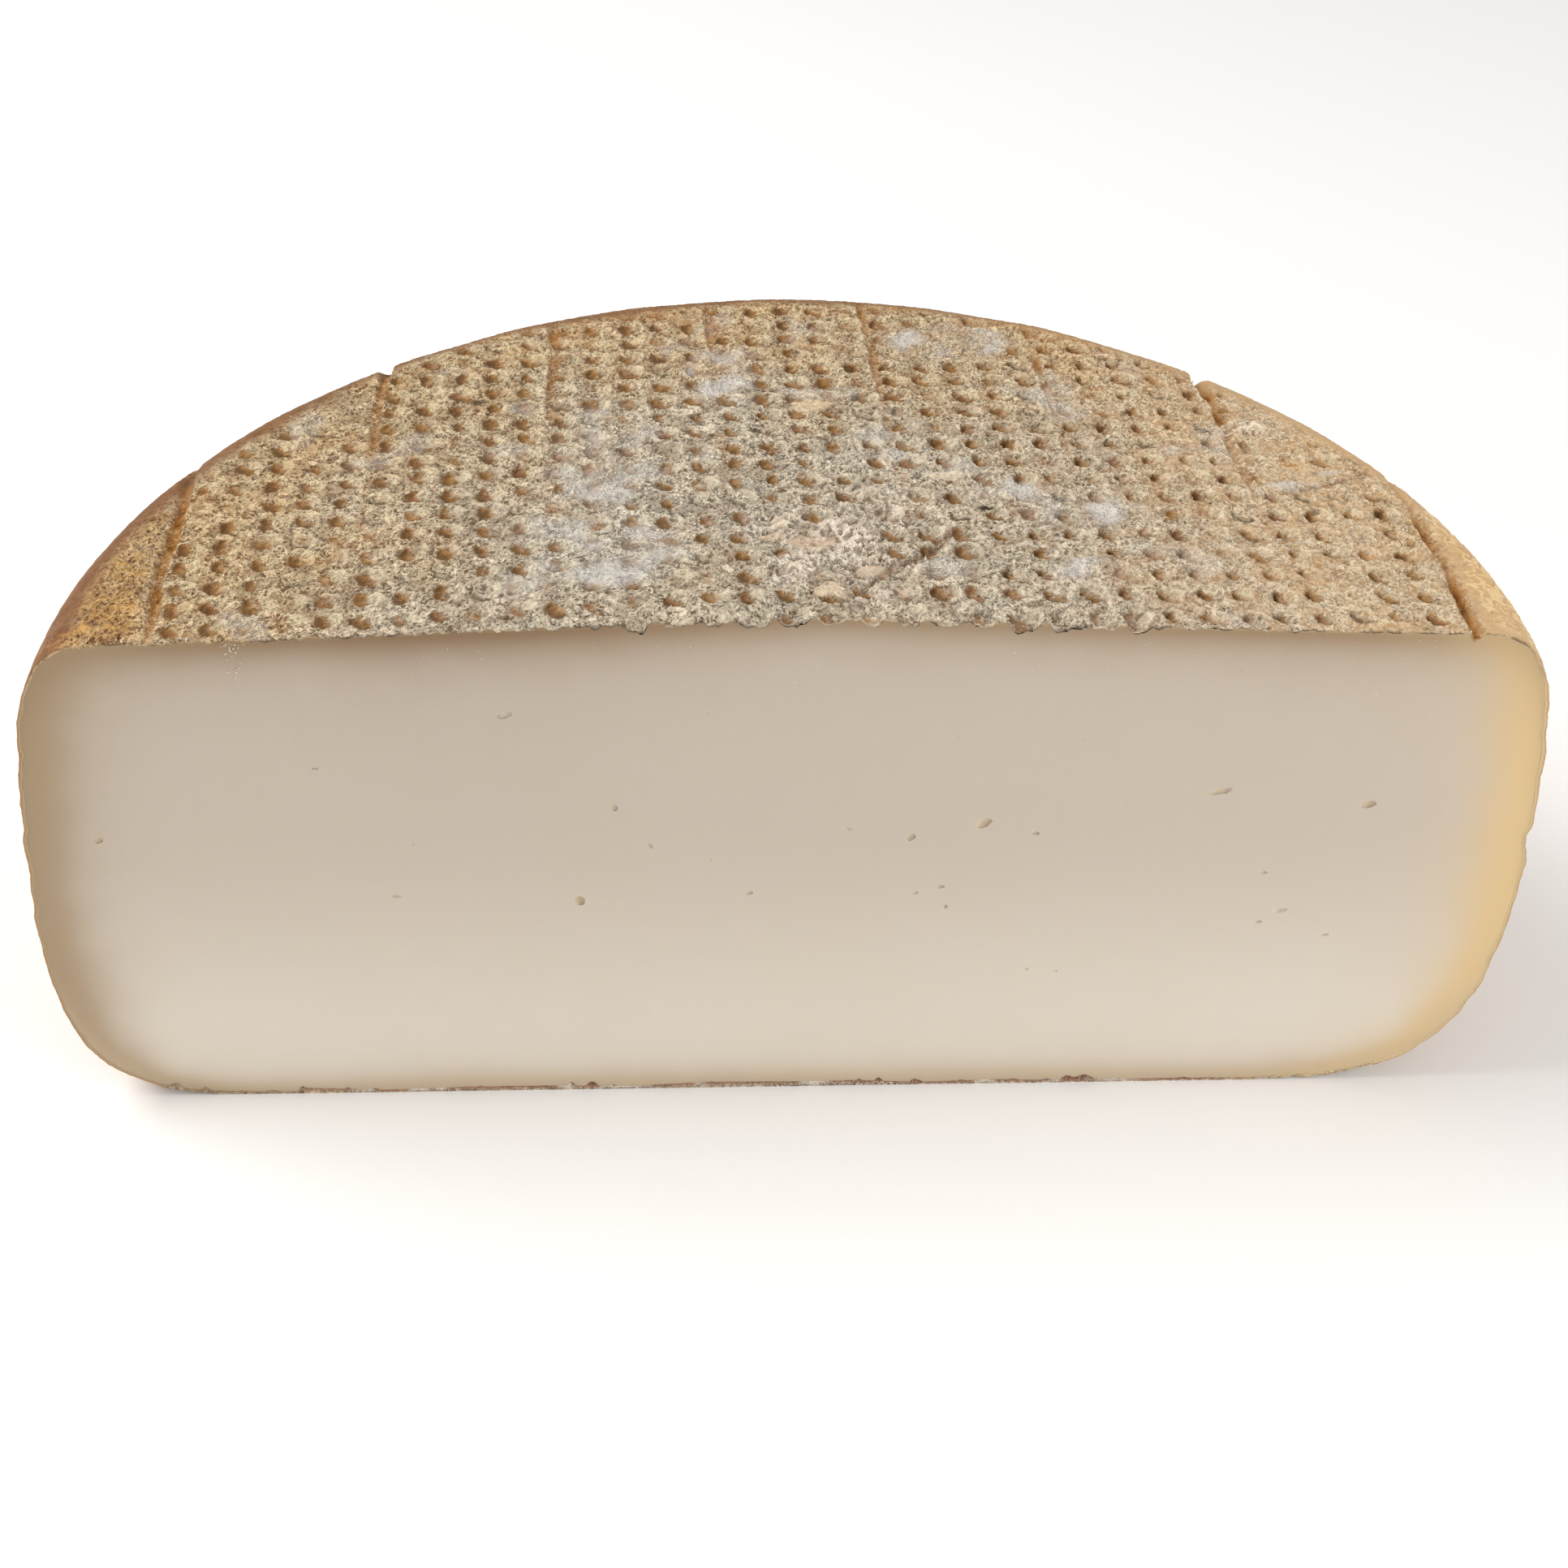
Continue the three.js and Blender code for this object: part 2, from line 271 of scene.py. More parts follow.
class RindLook(bpy.types.PropertyGroup):
    """The rind's relief and colours."""

    pit_depth: length("Pit depth", "Depth of a mould pit", 0.0012, 0, 0.005)
    pit_radius: length("Pit radius", "Half the width of a mould pit", 0.0023, 0.001, 0.0033)
    crumble: length("Crumble", "Height of the crumbly skin's bumps", 0.0005, 0, 0.002)
    lip: length("Skin thickness", "Thickness of the skin where the knife cut it", 0.0005, 0.0001, 0.002)
    cream: shade("Cream", "Raised crumbs of the skin", (0.90, 0.835, 0.725))
    golden: shade("Golden cream", "Raised crumbs towards the rim", (0.84, 0.695, 0.49))
    tan: shade("Tan", "Body of the skin", (0.50, 0.42, 0.315))
    grey: shade("Grey", "Cooler body of the skin, in wide patches", (0.49, 0.435, 0.375))
    pink: shade("Pink", "Pinkish patches", (0.56, 0.405, 0.30))
    warm: shade("Warm", "Body of the skin towards the rim", (0.52, 0.36, 0.195))
    rust: shade("Rust", "Orange brown patches towards the rim", (0.60, 0.385, 0.175))
    warm_tint: shade("Warm tint", "Tint of all the skin towards the rim", (1.0, 0.972, 0.90))
    amber_tint: shade("Amber tint", "Tint of the skin beyond the first groove", (0.97, 0.91, 0.82))
    # Painted shade in the gaps and chinks between the raised crumbs and threads.
    gap: shade("Gap", "Dark gaps between the crumbs", (0.29, 0.22, 0.15))
    # Pits: the bare rind's own orange brown, with painted shade on the steep left wall away from the
    # light; the deepest place is darker still, as painted shade.
    pit: shade("Pit", "Bare orange brown inside the pits", (0.60, 0.42, 0.135))
    red_pit: shade("Red pit", "Redder brown inside some pits", (0.55, 0.36, 0.16))
    deep_pit_shade: shade("Deep pit", "Deepest place of a pit", (0.38, 0.26, 0.10))
    bloom: shade("Bloom", "White mould", (0.86, 0.85, 0.83))
    left_border: shade("Left border", "Smooth skin at the left shoulder", (0.43, 0.27, 0.11))
    right_border: shade("Right border", "Smooth skin at the right shoulder", (0.76, 0.635, 0.475))
    side: shade("Side", "Skin of the side and the underside", (0.70, 0.555, 0.375))
    peach: shade("Peach", "Body of the skin at the right of the top", (0.76, 0.615, 0.44))
    stain: shade("Stain", "Skin beside the grooves", (0.56, 0.38, 0.24))
    groove: shade("Groove", "Bare floor of a groove", (0.68, 0.47, 0.22))
    # Painted shade: a groove's floor is painted darker where the groove is deeper.
    deep_groove_shade: shade("Deep groove", "Bare floor of a deep groove", (0.53, 0.34, 0.15))
    crease: shade("Crease", "Bottom of a crease", (0.62, 0.47, 0.34))
    # Partly the pale crumbs of the raised far side of a pit, partly painted light on that wall, which
    # faces the light.
    far_side_and_light: shade("Far side", "Pale crumbs on the far side of a pit", (0.87, 0.82, 0.73))
    # Partly pale crumbs round a pit, partly a painted highlight in the arc along its lit right side.
    rim: shade("Rim", "Crumbs round a pit", (0.93, 0.88, 0.77))
    # Painted shadow: a dark line under the front left edge of a pit, where its own wall hides the light.
    seam: shade("Seam", "Dark line under a pit's edge", (0.31, 0.21, 0.11))
    bright: shade("Bright crumbs", "Finest crumbs of the skin", (0.97, 0.92, 0.83))
    left_chalk: shade("Left chalk", "Crumbly skin at the left shoulder", (0.83, 0.71, 0.49))
    right_chalk: shade("Right chalk", "Crumbly skin at the right shoulder", (0.93, 0.84, 0.66))
    torn: shade("Torn", "Flakes of torn skin", (0.96, 0.91, 0.84))
    # Painted shade in the gaps between the torn flakes.
    torn_gap_shade: shade("Torn gap", "Gaps between those flakes", (0.42, 0.31, 0.22))
    scab: shade("Scab", "Smooth scabs of skin", (0.80, 0.72, 0.61))
    pink_scab: shade("Pink scab", "The pinkest of those scabs", (0.68, 0.55, 0.46))
    speck: shade("Speck", "Dark specks", (0.27, 0.20, 0.13))
    left_lip: shade("Left lip", "Skin's cut edge at the left", (0.66, 0.57, 0.45))
    # Partly the cut edge's own colour, partly a painted glow of light shining through the rind at the
    # right.
    right_lip_and_glow: shade("Right lip", "Skin's cut edge at the right", (0.87, 0.77, 0.60))
    base_lip: shade("Base lip", "Skin's cut edge along the base", (0.67, 0.51, 0.42))
    base_fleck: shade("Base fleck", "Pale flecks of that edge", (0.90, 0.86, 0.80))


class PasteLook(bpy.types.PropertyGroup):
    """The cut face's colours and its holes."""

    heart: shade("Heart", "Paste in the middle of the wheel", (0.764, 0.719, 0.664))
    # Painted light: the paste is painted paler towards the base, as light bounced up from the floor.
    low_heart_with_bounce_light: shade("Low heart", "Paste nearer the base", (0.86, 0.828, 0.778))
    top_band: shade("Top band", "Paste right under the rind on top", (0.58, 0.475, 0.35))
    dark_band: shade("Dark top band", "The same to the left of the middle", (0.50, 0.38, 0.24))
    left_band: shade("Left band", "Paste right under the rind at the left", (0.64, 0.55, 0.435))
    # Partly the band's own golden colour, partly a painted glow of light shining through the rind at the
    # right.
    right_band_and_glow: shade("Right band", "Paste right under the rind at the right", (0.84, 0.73, 0.54))
    base_band: shade("Base band", "Paste right above the base", (0.76, 0.68, 0.57))
    cut_edge: shade("Cut edge", "Paste along the skin", (0.80, 0.70, 0.55))
    cloudy: shade("Cloudy", "Faint wide clouds of the paste", (0.74, 0.68, 0.58))
    hole: shade("Hole", "Inside of the gas holes", (0.80, 0.735, 0.63))
    side_reach: length("Side band", "Depth of the band at the sides", 0.0095, 0.002, 0.03)
    top_reach: length("Top band depth", "Depth of the band under the top", 0.0046, 0.001, 0.03)
    base_reach: length("Base band depth", "Depth of the band over the base", 0.0048, 0.001, 0.03)
    eye_scale: FloatProperty(
        name="Eye scale", description="Size of the gas holes", default=1.0, min=0.2, max=2
    )


class CrumbLook(bpy.types.PropertyGroup):
    """Loose bits on the rind and on the cut."""

    grains: IntProperty(name="Grains", description="Doublings of the rind's grains", default=12, max=13)
    specks: IntProperty(name="Specks", description="Doublings of the cut's specks", default=8, max=12)
    grain_size: length("Grain size", "Usual size of a grain", 0.00042, 0.0002, 0.002)
    pale_grain: shade("Pale grain", "Pale patches of the rind's grains", (0.90, 0.85, 0.75))
    deep_grain: shade("Deep grain", "Darker patches of the rind's grains", (0.74, 0.66, 0.54))
    pale_speck: shade("Pale speck", "Pale patches of the cut's specks", (0.95, 0.93, 0.88))
    deep_speck: shade("Deep speck", "Darker patches of the cut's specks", (0.88, 0.84, 0.76))
    # Painted shade in the gaps between the threads of the loose crumbs.
    crumb_gap_shade: shade("Crumb gap", "Dark gaps in both", (0.55, 0.46, 0.33))
    crumb_bloom: shade("Crumb bloom", "White mould on both", (0.9, 0.88, 0.85))


class StudioLook(bpy.types.PropertyGroup):
    """Floor, lights and camera."""

    floor: shade("Floor", "Pale floor", (0.97, 0.97, 0.97))
    floor_shade: shade("Floor shade", "Faint clouds of the floor", (0.94, 0.94, 0.94))
    key: FloatProperty(name="Key", description="Power of the main light", default=11.4, unit="POWER")
    fill: FloatProperty(name="Fill", description="Power of the front light", default=7.2, unit="POWER")
    sky: FloatProperty(name="Sky", description="Strength of the light all round", default=0.56)


# ---- Small helpers ----


def smooth(low, high, value):
    """0 below low, 1 above high and an even rise between."""
    share = np.clip((value - low) / (high - low), 0.0, 1.0)
    return share * share * (3 - 2 * share)


def linear(colour):
    """A screen colour as the light values that a shader takes, with full cover."""
    return (*(c / 12.92 if c <= 0.04045 else ((c + 0.055) / 1.055) ** 2.4 for c in colour), 1.0)


def lumps(points, wavelength, salt=0.0):
    """Soft noise from about -1 to 1 over points in millimetres."""
    scaled = (points / wavelength + (salt, salt * 0.7, salt * 1.3)).tolist()
    return np.array([noise.noise(p) for p in scaled]) * 1.3


def ridges(points, wavelength, salt=0.0, narrowness=2.2):
    """Noise with crests at 1, as narrow as asked for, and valleys down to 0."""
    return 1.0 - np.minimum(1.0, np.abs(lumps(points, wavelength, salt)) * narrowness)


def over(patches, x, y, wobble=0.0):
    """How strongly the ovals of a table cover each place, with soft edges."""
    total = np.zeros_like(x)
    for px, py, half_width, half_depth, strength in patches:
        away = np.hypot((x - px) / half_width, (y - py) / half_depth) + wobble
        total = np.maximum(total, strength * (1 - smooth(0.55, 1.15, away)))
    return total


def to_frame(points):
    """Places in the wheel's millimetres as places in the frame's metres."""
    shape = bpy.context.scene.wheel_shape
    axis = (LOW.x + shape.left_reach, LOW.y, LOW.z)
    return points * MM + axis


def from_frame(points):
    """Places in the frame's metres as places in the wheel's millimetres."""
    return (points - to_frame(np.zeros(3))) / MM


def on_plane(x, y):
    """Places of the top, without its height, as points for noise."""
    return np.stack([x, y, np.zeros_like(x)], 1)


class Surface:
    """The wheel's outer surface. A place on it is an angle round the axis, 0 at the right end and
    pi at the left, and a run: the way along the skin from the middle of the top."""

    SAMPLES = 400  # steps of each of the section's four parts
    STEP = 0.35  # how far to each side the direction of the skin is taken from

    def __init__(self):
        shape = bpy.context.scene.wheel_shape
        look = bpy.context.scene.rind_look
        self.left, self.right = (
            np.array([getattr(shape, f"{side}_{key}") / MM for key in ("reach", "belly", "rest", "lean")])
            for side in ("left", "right")
        )
        self.shoulder_radius = shape.shoulder_radius / MM
        self.shoulder_height = shape.shoulder_height / MM
        self.crown_height = shape.crown_height / MM
        self.foot_power = 2 / shape.foot_fullness
        self.shoulder_power = 2 / shape.shoulder_fullness
        self.pit_depth = look.pit_depth / MM
        self.pit_radius = look.pit_radius / MM
        self.crumble = look.crumble / MM
        self.lip = look.lip / MM
        rows = np.linspace(0, 4, 4 * self.SAMPLES + 1)
        radius, height = self.section(np.full_like(rows, math.pi / 2), rows)
        steps = np.hypot(np.diff(radius), np.diff(height))
        self.rows, self.runs = rows, np.concatenate([[0.0], np.cumsum(steps)])
        self.whole_run = self.runs[-1]
        self.rest_run = np.interp(3.0, rows, self.runs)
        self.traits = np.random.default_rng(PIT_SEED).random((COLUMNS, ROWS, 8))
        self.shut = np.zeros((COLUMNS, ROWS))
        self.shut[:, 0] = FIRST_COLUMN_U + np.arange(COLUMNS) * PIT_PITCH < FIRST_CUT_U
        self.plugged = np.zeros((COLUMNS, ROWS))
        self.plugged[tuple(zip(*PLUGS))] = 1

    def section(self, angle, row):
        """Radius and height. Row 0 to 1 is the top, 1 to 2 the shoulder, 2 to 3 the foot, 3 to 4
        the underside."""
        share = ((1 + np.cos(angle)) / 2)[:, None]
        reach, belly, rest, lean = (self.left + (self.right - self.left) * share).T
        reach = reach + sum(amount * np.sin(turns * angle) for amount, turns in SIDE_WAVES)
        quarter = np.clip(row - 1, 0, 1) * math.pi / 2
        out = np.sin(quarter) ** self.shoulder_power
        up = np.cos(quarter).clip(0) ** self.shoulder_power
        shoulder = self.shoulder_radius + (reach - self.shoulder_radius) * out - lean * out * up
        shoulder_z = belly + (self.shoulder_height - belly) * up
        quarter = np.clip(3 - row, 0, 1) * math.pi / 2
        out = np.sin(quarter) ** self.foot_power
        down = np.cos(quarter).clip(0) ** self.foot_power
        foot, foot_z = rest + (reach - rest) * out, belly * (1 - down)
        crown = self.shoulder_radius * row
        crown_z = self.crown_height + (self.shoulder_height - self.crown_height) * row
        parts = [row < 1, row < 2, row < 3]
        radius = np.select(parts, [crown, shoulder, foot], rest * (4 - row))
        height = np.select(parts, [crown_z, shoulder_z, foot_z], 0.0)
        return radius, height

    def at(self, angle, run):
        """Radius and height of the bare form."""
        return self.section(angle, np.interp(run, self.runs, self.rows))

    def place(self, angle, run):
        """Points on the bare form and their outward directions."""
        radius, height = self.at(angle, run)
        near = self.at(angle, np.maximum(run - self.STEP, 0))
        far = self.at(angle, np.minimum(run + self.STEP, self.whole_run))
        along = np.stack([far[0] - near[0], far[1] - near[1]])
        along /= np.maximum(np.hypot(*along), 1e-9)
        cos, sin = np.cos(angle), np.sin(angle)
        points = np.stack([radius * cos, radius * sin, height], 1)
        outward = np.stack([-along[1] * cos, -along[1] * sin, along[0]], 1)
        return points, outward

    def grid(self, x, y):
        """Places in the mould's grid: u across its columns, v along them."""
        cos, sin = math.cos(MOULD_TURN), math.sin(MOULD_TURN)
        return x * cos + y * sin, y * cos - x * sin

    def pits(self, x, y):
        """Height of the pits, and masks of their bare floor with painted shade on its steep side, their
        pale far side with painted light, their rim with a painted highlight, and a painted shadow line
        under the front edge. In a pit, a goes from the steep wall at -1 up the sloping floor to 1, and b
        goes across it."""
        u, v = self.grid(x, y)
        column = np.clip(np.rint((u - FIRST_COLUMN_U) / PIT_PITCH), 0, COLUMNS - 1).astype(int)
        row = np.clip(np.rint((v - FIRST_ROW_V) / PIT_PITCH), 0, ROWS - 1).astype(int)
        shift_u, shift_v, width, twist, kind, deepness, lumpiness, tint = self.traits[column, row].T
        east, west = smooth(20.0, 80.0, x), 1 - smooth(-20.0, 60.0, x)
        size = self.pit_radius * (0.88 + 0.3 * width) * (1 - 0.13 * east)
        flat = on_plane(x, y)
        off_u = u - FIRST_COLUMN_U - column * PIT_PITCH - PIT_SCATTER * (shift_u - 0.5)
        off_v = v - FIRST_ROW_V - row * PIT_PITCH - PIT_SCATTER * (shift_v - 0.5)
        du = off_u / size + 0.15 * lumps(flat, 2.4, 3.0) + 0.11 * lumps(flat, 0.9, 3.5)
        dv = off_v / size + 0.15 * lumps(flat, 2.4, 4.0) + 0.11 * lumps(flat, 0.9, 4.5)
        turn = PIT_TURN + 0.7 * (twist - 0.5)
        a = du * np.cos(turn) + dv * np.sin(turn)
        b = dv * np.cos(turn) - du * np.sin(turn)
        away = np.hypot(a, b)
        chord = np.sqrt(np.clip(1 - b * b, 0.0, 1.0))
        across = a / np.maximum(chord, 0.05)

        shut = self.shut[column, row]
        plug = np.maximum((kind < PLUGGED_SHARE).astype(float), self.plugged[column, row])
        filled = np.maximum(plug, shut)
        hollow = 1 - filled
        faint = hollow * (kind < FAINT_SHARE)
        strength = (0.75 + 0.55 * deepness) * (1 - 0.55 * faint) * hollow
        at_cut = (row == 0) & (x < LAST_CUT_X)
        cup = at_cut * (1 - shut) * (1 - smooth(0.45, 1.15, np.abs(du)))

        disc = smooth(0.2, 0.0, np.abs(away - 0.8)) * filled * (1 - shut)
        lump = (1 - smooth(0.2, 0.7, np.hypot(a - 0.8, b * 0.8))) * (1 - 0.4 * east)
        wall = smooth(-1.0, -0.68, across)
        ramp = 1 - np.clip((across + 0.6) / 1.6, 0, 1) ** 0.9
        dip = wall * ramp * chord**0.8 * strength * (1.3 - 0.8 * west) * (1 - 0.6 * at_cut)
        height = 0.2 * lump * (0.1 + 1.1 * lumpiness) * hollow + 0.25 * disc - self.pit_depth * dip
        height = height - CUP_DEPTH * cup * (1 - smooth(0.6, 1.3, dv)) * (0.6 + 0.6 * deepness)

        # Painted highlight: the arc of pale rim on the right side of the pit, the side that faces the
        # light.
        arc = smooth(0.16, 0.0, np.abs(away - 1.02)) * smooth(-0.5, 0.6, a)
        ring = smooth(0.14, 0.0, np.abs(np.hypot(a - 0.75, b) - 0.5)) * (lumpiness > 0.4) * hollow
        # Painted shade: the floor colour is strongest on the steep left wall, which faces away from the
        # light, and fades up the lit slope.
        shaded = np.clip(0.52 - (0.8 + 0.1 * east) * across + 0.2 * lumps(flat, 1.2, 6.0), 0, 1)
        floor = smooth(-1.04, -0.85 + 0.2 * west, across) * shaded * smooth(0.1, 0.7, chord)
        # Painted shadow under the pit's front left edge; the relief is also cut in a little along it.
        seam = smooth(0.24 + 0.12 * east, 0.0, np.abs(away - 0.94)) * smooth(0.0, -0.7, a + 0.5 * dv)
        return height, {
            "pit": floor * np.where(at_cut, 0.6, 1.0) * np.clip(strength, 0, 1),
            "pit_far": lump * hollow * (0.2 + 0.8 * lumpiness),
            "pit_tint": tint,
            "rim": np.maximum(np.maximum(arc, 0.8 * ring) * (1 - shut), disc),
            "seam": seam * (1 - shut) * (tint > 0.15) * (0.6 + 0.4 * filled) * (1 - 0.8 * faint),
            "cup": cup,
        }

    def grooves(self, x, y, radius):
        """Depth of the mould's straight grooves, how bare they are, and the stains along them."""
        u, v = self.grid(x, y)
        depth, bare, stain = np.zeros_like(x), np.zeros_like(x), np.zeros_like(x)
        flat = on_plane(x, y)
        broken = 0.55 + 0.75 * lumps(flat, 9.0, 8.0) + 0.3 * lumps(flat, 3.0, 9.0)
        for centre, *depths in GROOVES:
            back = math.sqrt(max(1.0, GROOVE_REACH**2 - centre**2))
            fade = 1 - smooth(122.0, 127.0, radius) * (abs(centre) < 70)
            here = np.interp(v / back, GROOVE_STATIONS, depths) * np.clip(broken + 0.4, 0.15, 1.15) * fade
            off = np.abs(u - centre - 0.5 * lumps(flat, 14.0, centre))
            profile = 1 - smooth(0.25, 1.0, off / (GROOVE_HALF_WIDTH * (0.7 + 0.45 * here)))
            depth = np.maximum(depth, here * profile)
            bare = np.maximum(bare, profile * np.clip(here / 1.3, 0, 1.5))
            stain = np.maximum(stain, 1 - smooth(0.6, 3.6, off))
        stain = stain * smooth(-0.1, 0.7, lumps(flat, 8.0, 10.0)) * smooth(5.0, 40.0, y)
        within = 1 - smooth(120.0, 129.0, radius)
        return depth * (1 - smooth(129.0, 136.0, radius)), bare * within, stain * within

    def creases(self, x, y):
        """Depth of the creases, with the skin raised a little beside them."""
        depth = np.zeros_like(x)
        off = 0.4 * lumps(on_plane(x, y), 5.0, 31.0)
        for *line, strength in CREASES:
            for (ax, ay), (bx, by) in zip(line, line[1:]):
                dx, dy = bx - ax, by - ay
                share = np.clip(((x - ax) * dx + (y - ay) * dy) / (dx * dx + dy * dy), 0, 1)
                away = np.hypot(x - ax - share * dx, y - ay - share * dy) + off
                valley = 1 - smooth(0.2, 1.2, np.abs(away))
                lip = smooth(0.8, 0.0, np.abs(away - 1.7))
                depth = np.maximum(depth, strength * valley) - 0.25 * strength * lip
        return depth

    def scabs(self, points, top):
        """Cover of the smooth scabs, their height, and how pink they are."""
        x, y, _ = points.T
        ragged = 0.45 * lumps(points, 2.5, 12.0) + 0.12 * lumps(points, 1.0, 18.0)
        cover, height, pink = np.zeros_like(x), np.zeros_like(x), np.zeros_like(x)
        for scab_x, scab_y, half_width, half_depth, rise, pinkness in SCABS:
            away = np.hypot((x - scab_x) / half_width, (y - scab_y) / half_depth) + ragged
            here = top * (1 - smooth(0.82, 1.0, away))
            cover = np.maximum(cover, here)
            height = np.maximum(height, here * (rise + 0.2 * (x - scab_x) / half_width))
            pink = np.maximum(pink, here * pinkness)
        return cover, height, pink

    def threads(self, points):
        """The dry skin's threads, the chinks between them, and the drift that both follow."""
        drift = np.stack([lumps(points, 1.9, 41.0), lumps(points, 1.9, 42.0), 0 * points[:, 0]], 1)
        worms = ridges(points + 0.6 * drift, 2.1, 4.0, 3.4)
        other_worms = ridges(points + 0.5 * drift, 1.6, 4.7, 2.9)
        broken = smooth(-0.3, 0.3, lumps(points, 3.3, 43.0))
        thread = np.maximum(worms * broken, other_worms * (1 - broken))
        chink = smooth(0.3, 0.7, -lumps(points + 0.5 * drift, 1.7, 44.0)) * (1 - thread)
        return thread, chink, drift

    def relief(self, points, angle, run):
        """Height of the skin over the bare form, and the masks that its colours follow."""
        x, y, _ = points.T
        radius = np.hypot(x, y)
        top = 1 - smooth(TOP_RUN, SIDE_RUN, run)
        side = 1 - top
        under = smooth(self.rest_run - 20, self.rest_run, run)
        uneven = lumps(points, 16.0, 1.0)
        u, _ = self.grid(x, y)
        first_groove, last_groove = GROOVES[0][0], GROOVES[-1][0]
        edge = PITTED_RADIUS + 2.0 * lumps(points, 22.0, 2.0)
        outside = np.maximum(smooth(1.0, 3.5, first_groove - u), smooth(-3.0, -0.5, u - last_groove))
        border = 0.85 * smooth(0.0, 3.0, u - last_groove)
        border = np.maximum(smooth(edge - 3.0, edge + 2.5, radius), border) * (1 - 0.4 * under)
        bare = over(BARE_PATCHES, x, y) * top
        torn = over(TORN_PATCHES, x, y, 0.25 * lumps(points, 4.0, 19.0)) * top
        crumbly = over(CRUMBLY_PATCHES, x, y, 0.3 * lumps(points, 4.0, 20.0)) * top
        scab, scab_height, scab_pink = self.scabs(points, top)
        pit_height, masks = self.pits(x, y)
        groove, groove_bare, stain = self.grooves(x, y, radius)
        pitted = (1 - smooth(edge - 3.0, edge + 1.0, radius)) * (run < 140) * (1 - outside)
        pitted = pitted * (1 - bare) * (1 - smooth(0.5, 1.1, groove)) * (1 - scab)
        grooved = (1 - 0.8 * bare * (radius < 110)) * (run < 150)
        groove, groove_bare = groove * grooved, groove_bare * grooved
        crease = self.creases(x, y) * top

        thread, chink, drift = self.threads(points)
        coarse = lumps(points, 4.2, 6.0)
        rough = thread - 0.3 - 0.8 * chink + 0.25 * lumps(points, 1.0, 5.0) + 0.2 * coarse
        calm = 1 - 0.7 * border - 0.5 * np.clip(groove_bare, 0, 1) - 0.45 * masks["pit"] * pitted
        calm = (calm + 1.3 * torn + 0.4 * crumbly) * (1 - 0.85 * scab)
        height = 0.8 * self.crumble * rough * np.clip(calm, 0.1, 3) + 0.2 * uneven
        height = height + (pit_height + 0.16 * masks["rim"] - 0.3 * masks["seam"]) * pitted
        height = height - groove - crease
        torn = torn * smooth(-0.8, 0.1, lumps(points, 3.6, 22.0))
        flakes = ridges(points + 0.6 * drift, 2.6, 12.0, 2.6) - 0.35
        height = height + 0.7 * torn * flakes * (1 - scab) + scab_height
        weave = 0.16 * lumps(points * (0.25, 0.25, 1.0), 3.2, 14.0)
        dents = -0.5 * smooth(0.45, 0.85, lumps(points, 9.0, 15.0))
        height = height + side * (1 - under) * (0.3 * lumps(points, 7.0, 13.0) + weave + dents)
        height = np.where(under > 0, np.minimum(height, 0) * (1 - 0.6 * under), height)

        grainy = 0.35 + 0.65 * smooth(-0.2, 0.5, lumps(points, 7.0, 16.0))
        grown = over(BLOOM_PATCHES, x, y) * top * grainy
        stray = smooth(0.35, 0.8, lumps(points, 11.0, 17.0)) * 0.45
        warm = 0.7 * smooth(45.0, 118.0, radius) + 0.25 * uneven + 0.3 * smooth(30.0, 95.0, -x)
        for name in ("pit", "pit_far", "rim", "seam"):
            masks[name] = masks[name] * pitted
        masks.update({
            "groove": groove_bare,
            "stain": stain,
            "border": border,
            "bloom": np.clip(grown + stray * (1 - 0.85 * border), 0, 1),
            "torn": torn,
            "speck": over(SPECKS, x, y) * top,
            "scab": scab,
            "crumbly": crumbly,
            "peach": smooth(45.0, 100.0, x) * top,
            "amber": smooth(0.5, 4.0, first_groove - u) * top,
            # Painted shade: the body of the top is painted darker towards the left and the front.
            "pale": np.maximum(smooth(10.0, 62.0, x), 0.5 * smooth(80.0, 120.0, y)),
            "pink": scab_pink,
            "warm": np.clip(warm + 0.25 * smooth(65.0, 115.0, y), 0, 1),
            "crest": np.clip(1.2 * thread - 0.15, 0, 1),
            # Painted shade in the chinks between the threads and in the low places of the coarse relief.
            "hollow": np.clip(0.8 * chink + 0.3 * smooth(0.3, 0.8, -coarse), 0, 1),
            "right": (1 + np.cos(angle)) / 2,
            "side": side,
            "under": under,
            "crease": np.clip(crease, 0, 1),
        })
        return height, masks

    def skin(self, angle, run):
        """The finished outer surface with its outward directions and masks."""
        points, outward = self.place(angle, run)
        height, masks = self.relief(points, angle, run)
        skin = points + outward * height[:, None]
        skin[:, 2] = np.maximum(skin[:, 2], 0.0)
        return skin, outward, masks

    def lip_width(self, points):
        """Thickness of the skin at the cut: ragged in the middle of the top, at the base and left."""
        x, _, z = points.T
        at_top, at_base = z > 100, z < 3
        ragged = 1.5 * smooth(-60.0, -45.0, x) * (1 - smooth(62.0, 75.0, x)) * at_top
        ragged = ragged + 2.6 * at_base * smooth(90.0, 60.0, x) + 0.8 * (x < 0) * (z > 3) * (z < 100)
        rags = np.clip(1.3 * lumps(points, 2.0, 45.0) + 0.1, 0, 1.2)
        return self.lip * (1 + 0.45 * lumps(points, 3.0, 40.0) + ragged * rags)


# ---- Meshes ----

SHARP_ANGLE = math.radians(70)
CUT_SHARP_ANGLE = math.radians(25)


def new_object(name, mesh, material):
    """A finished piece: its faces smooth, riding on the body and standing for the CAD node."""
    mesh.materials.append(material)
    mesh.shade_smooth()
    mesh.set_sharp_from_angle(angle=SHARP_ANGLE)
    piece = bpy.data.objects.new(name, mesh)
    bpy.context.scene.collection.objects.link(piece)
    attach(piece, "root")
    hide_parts(NODE)
    return piece


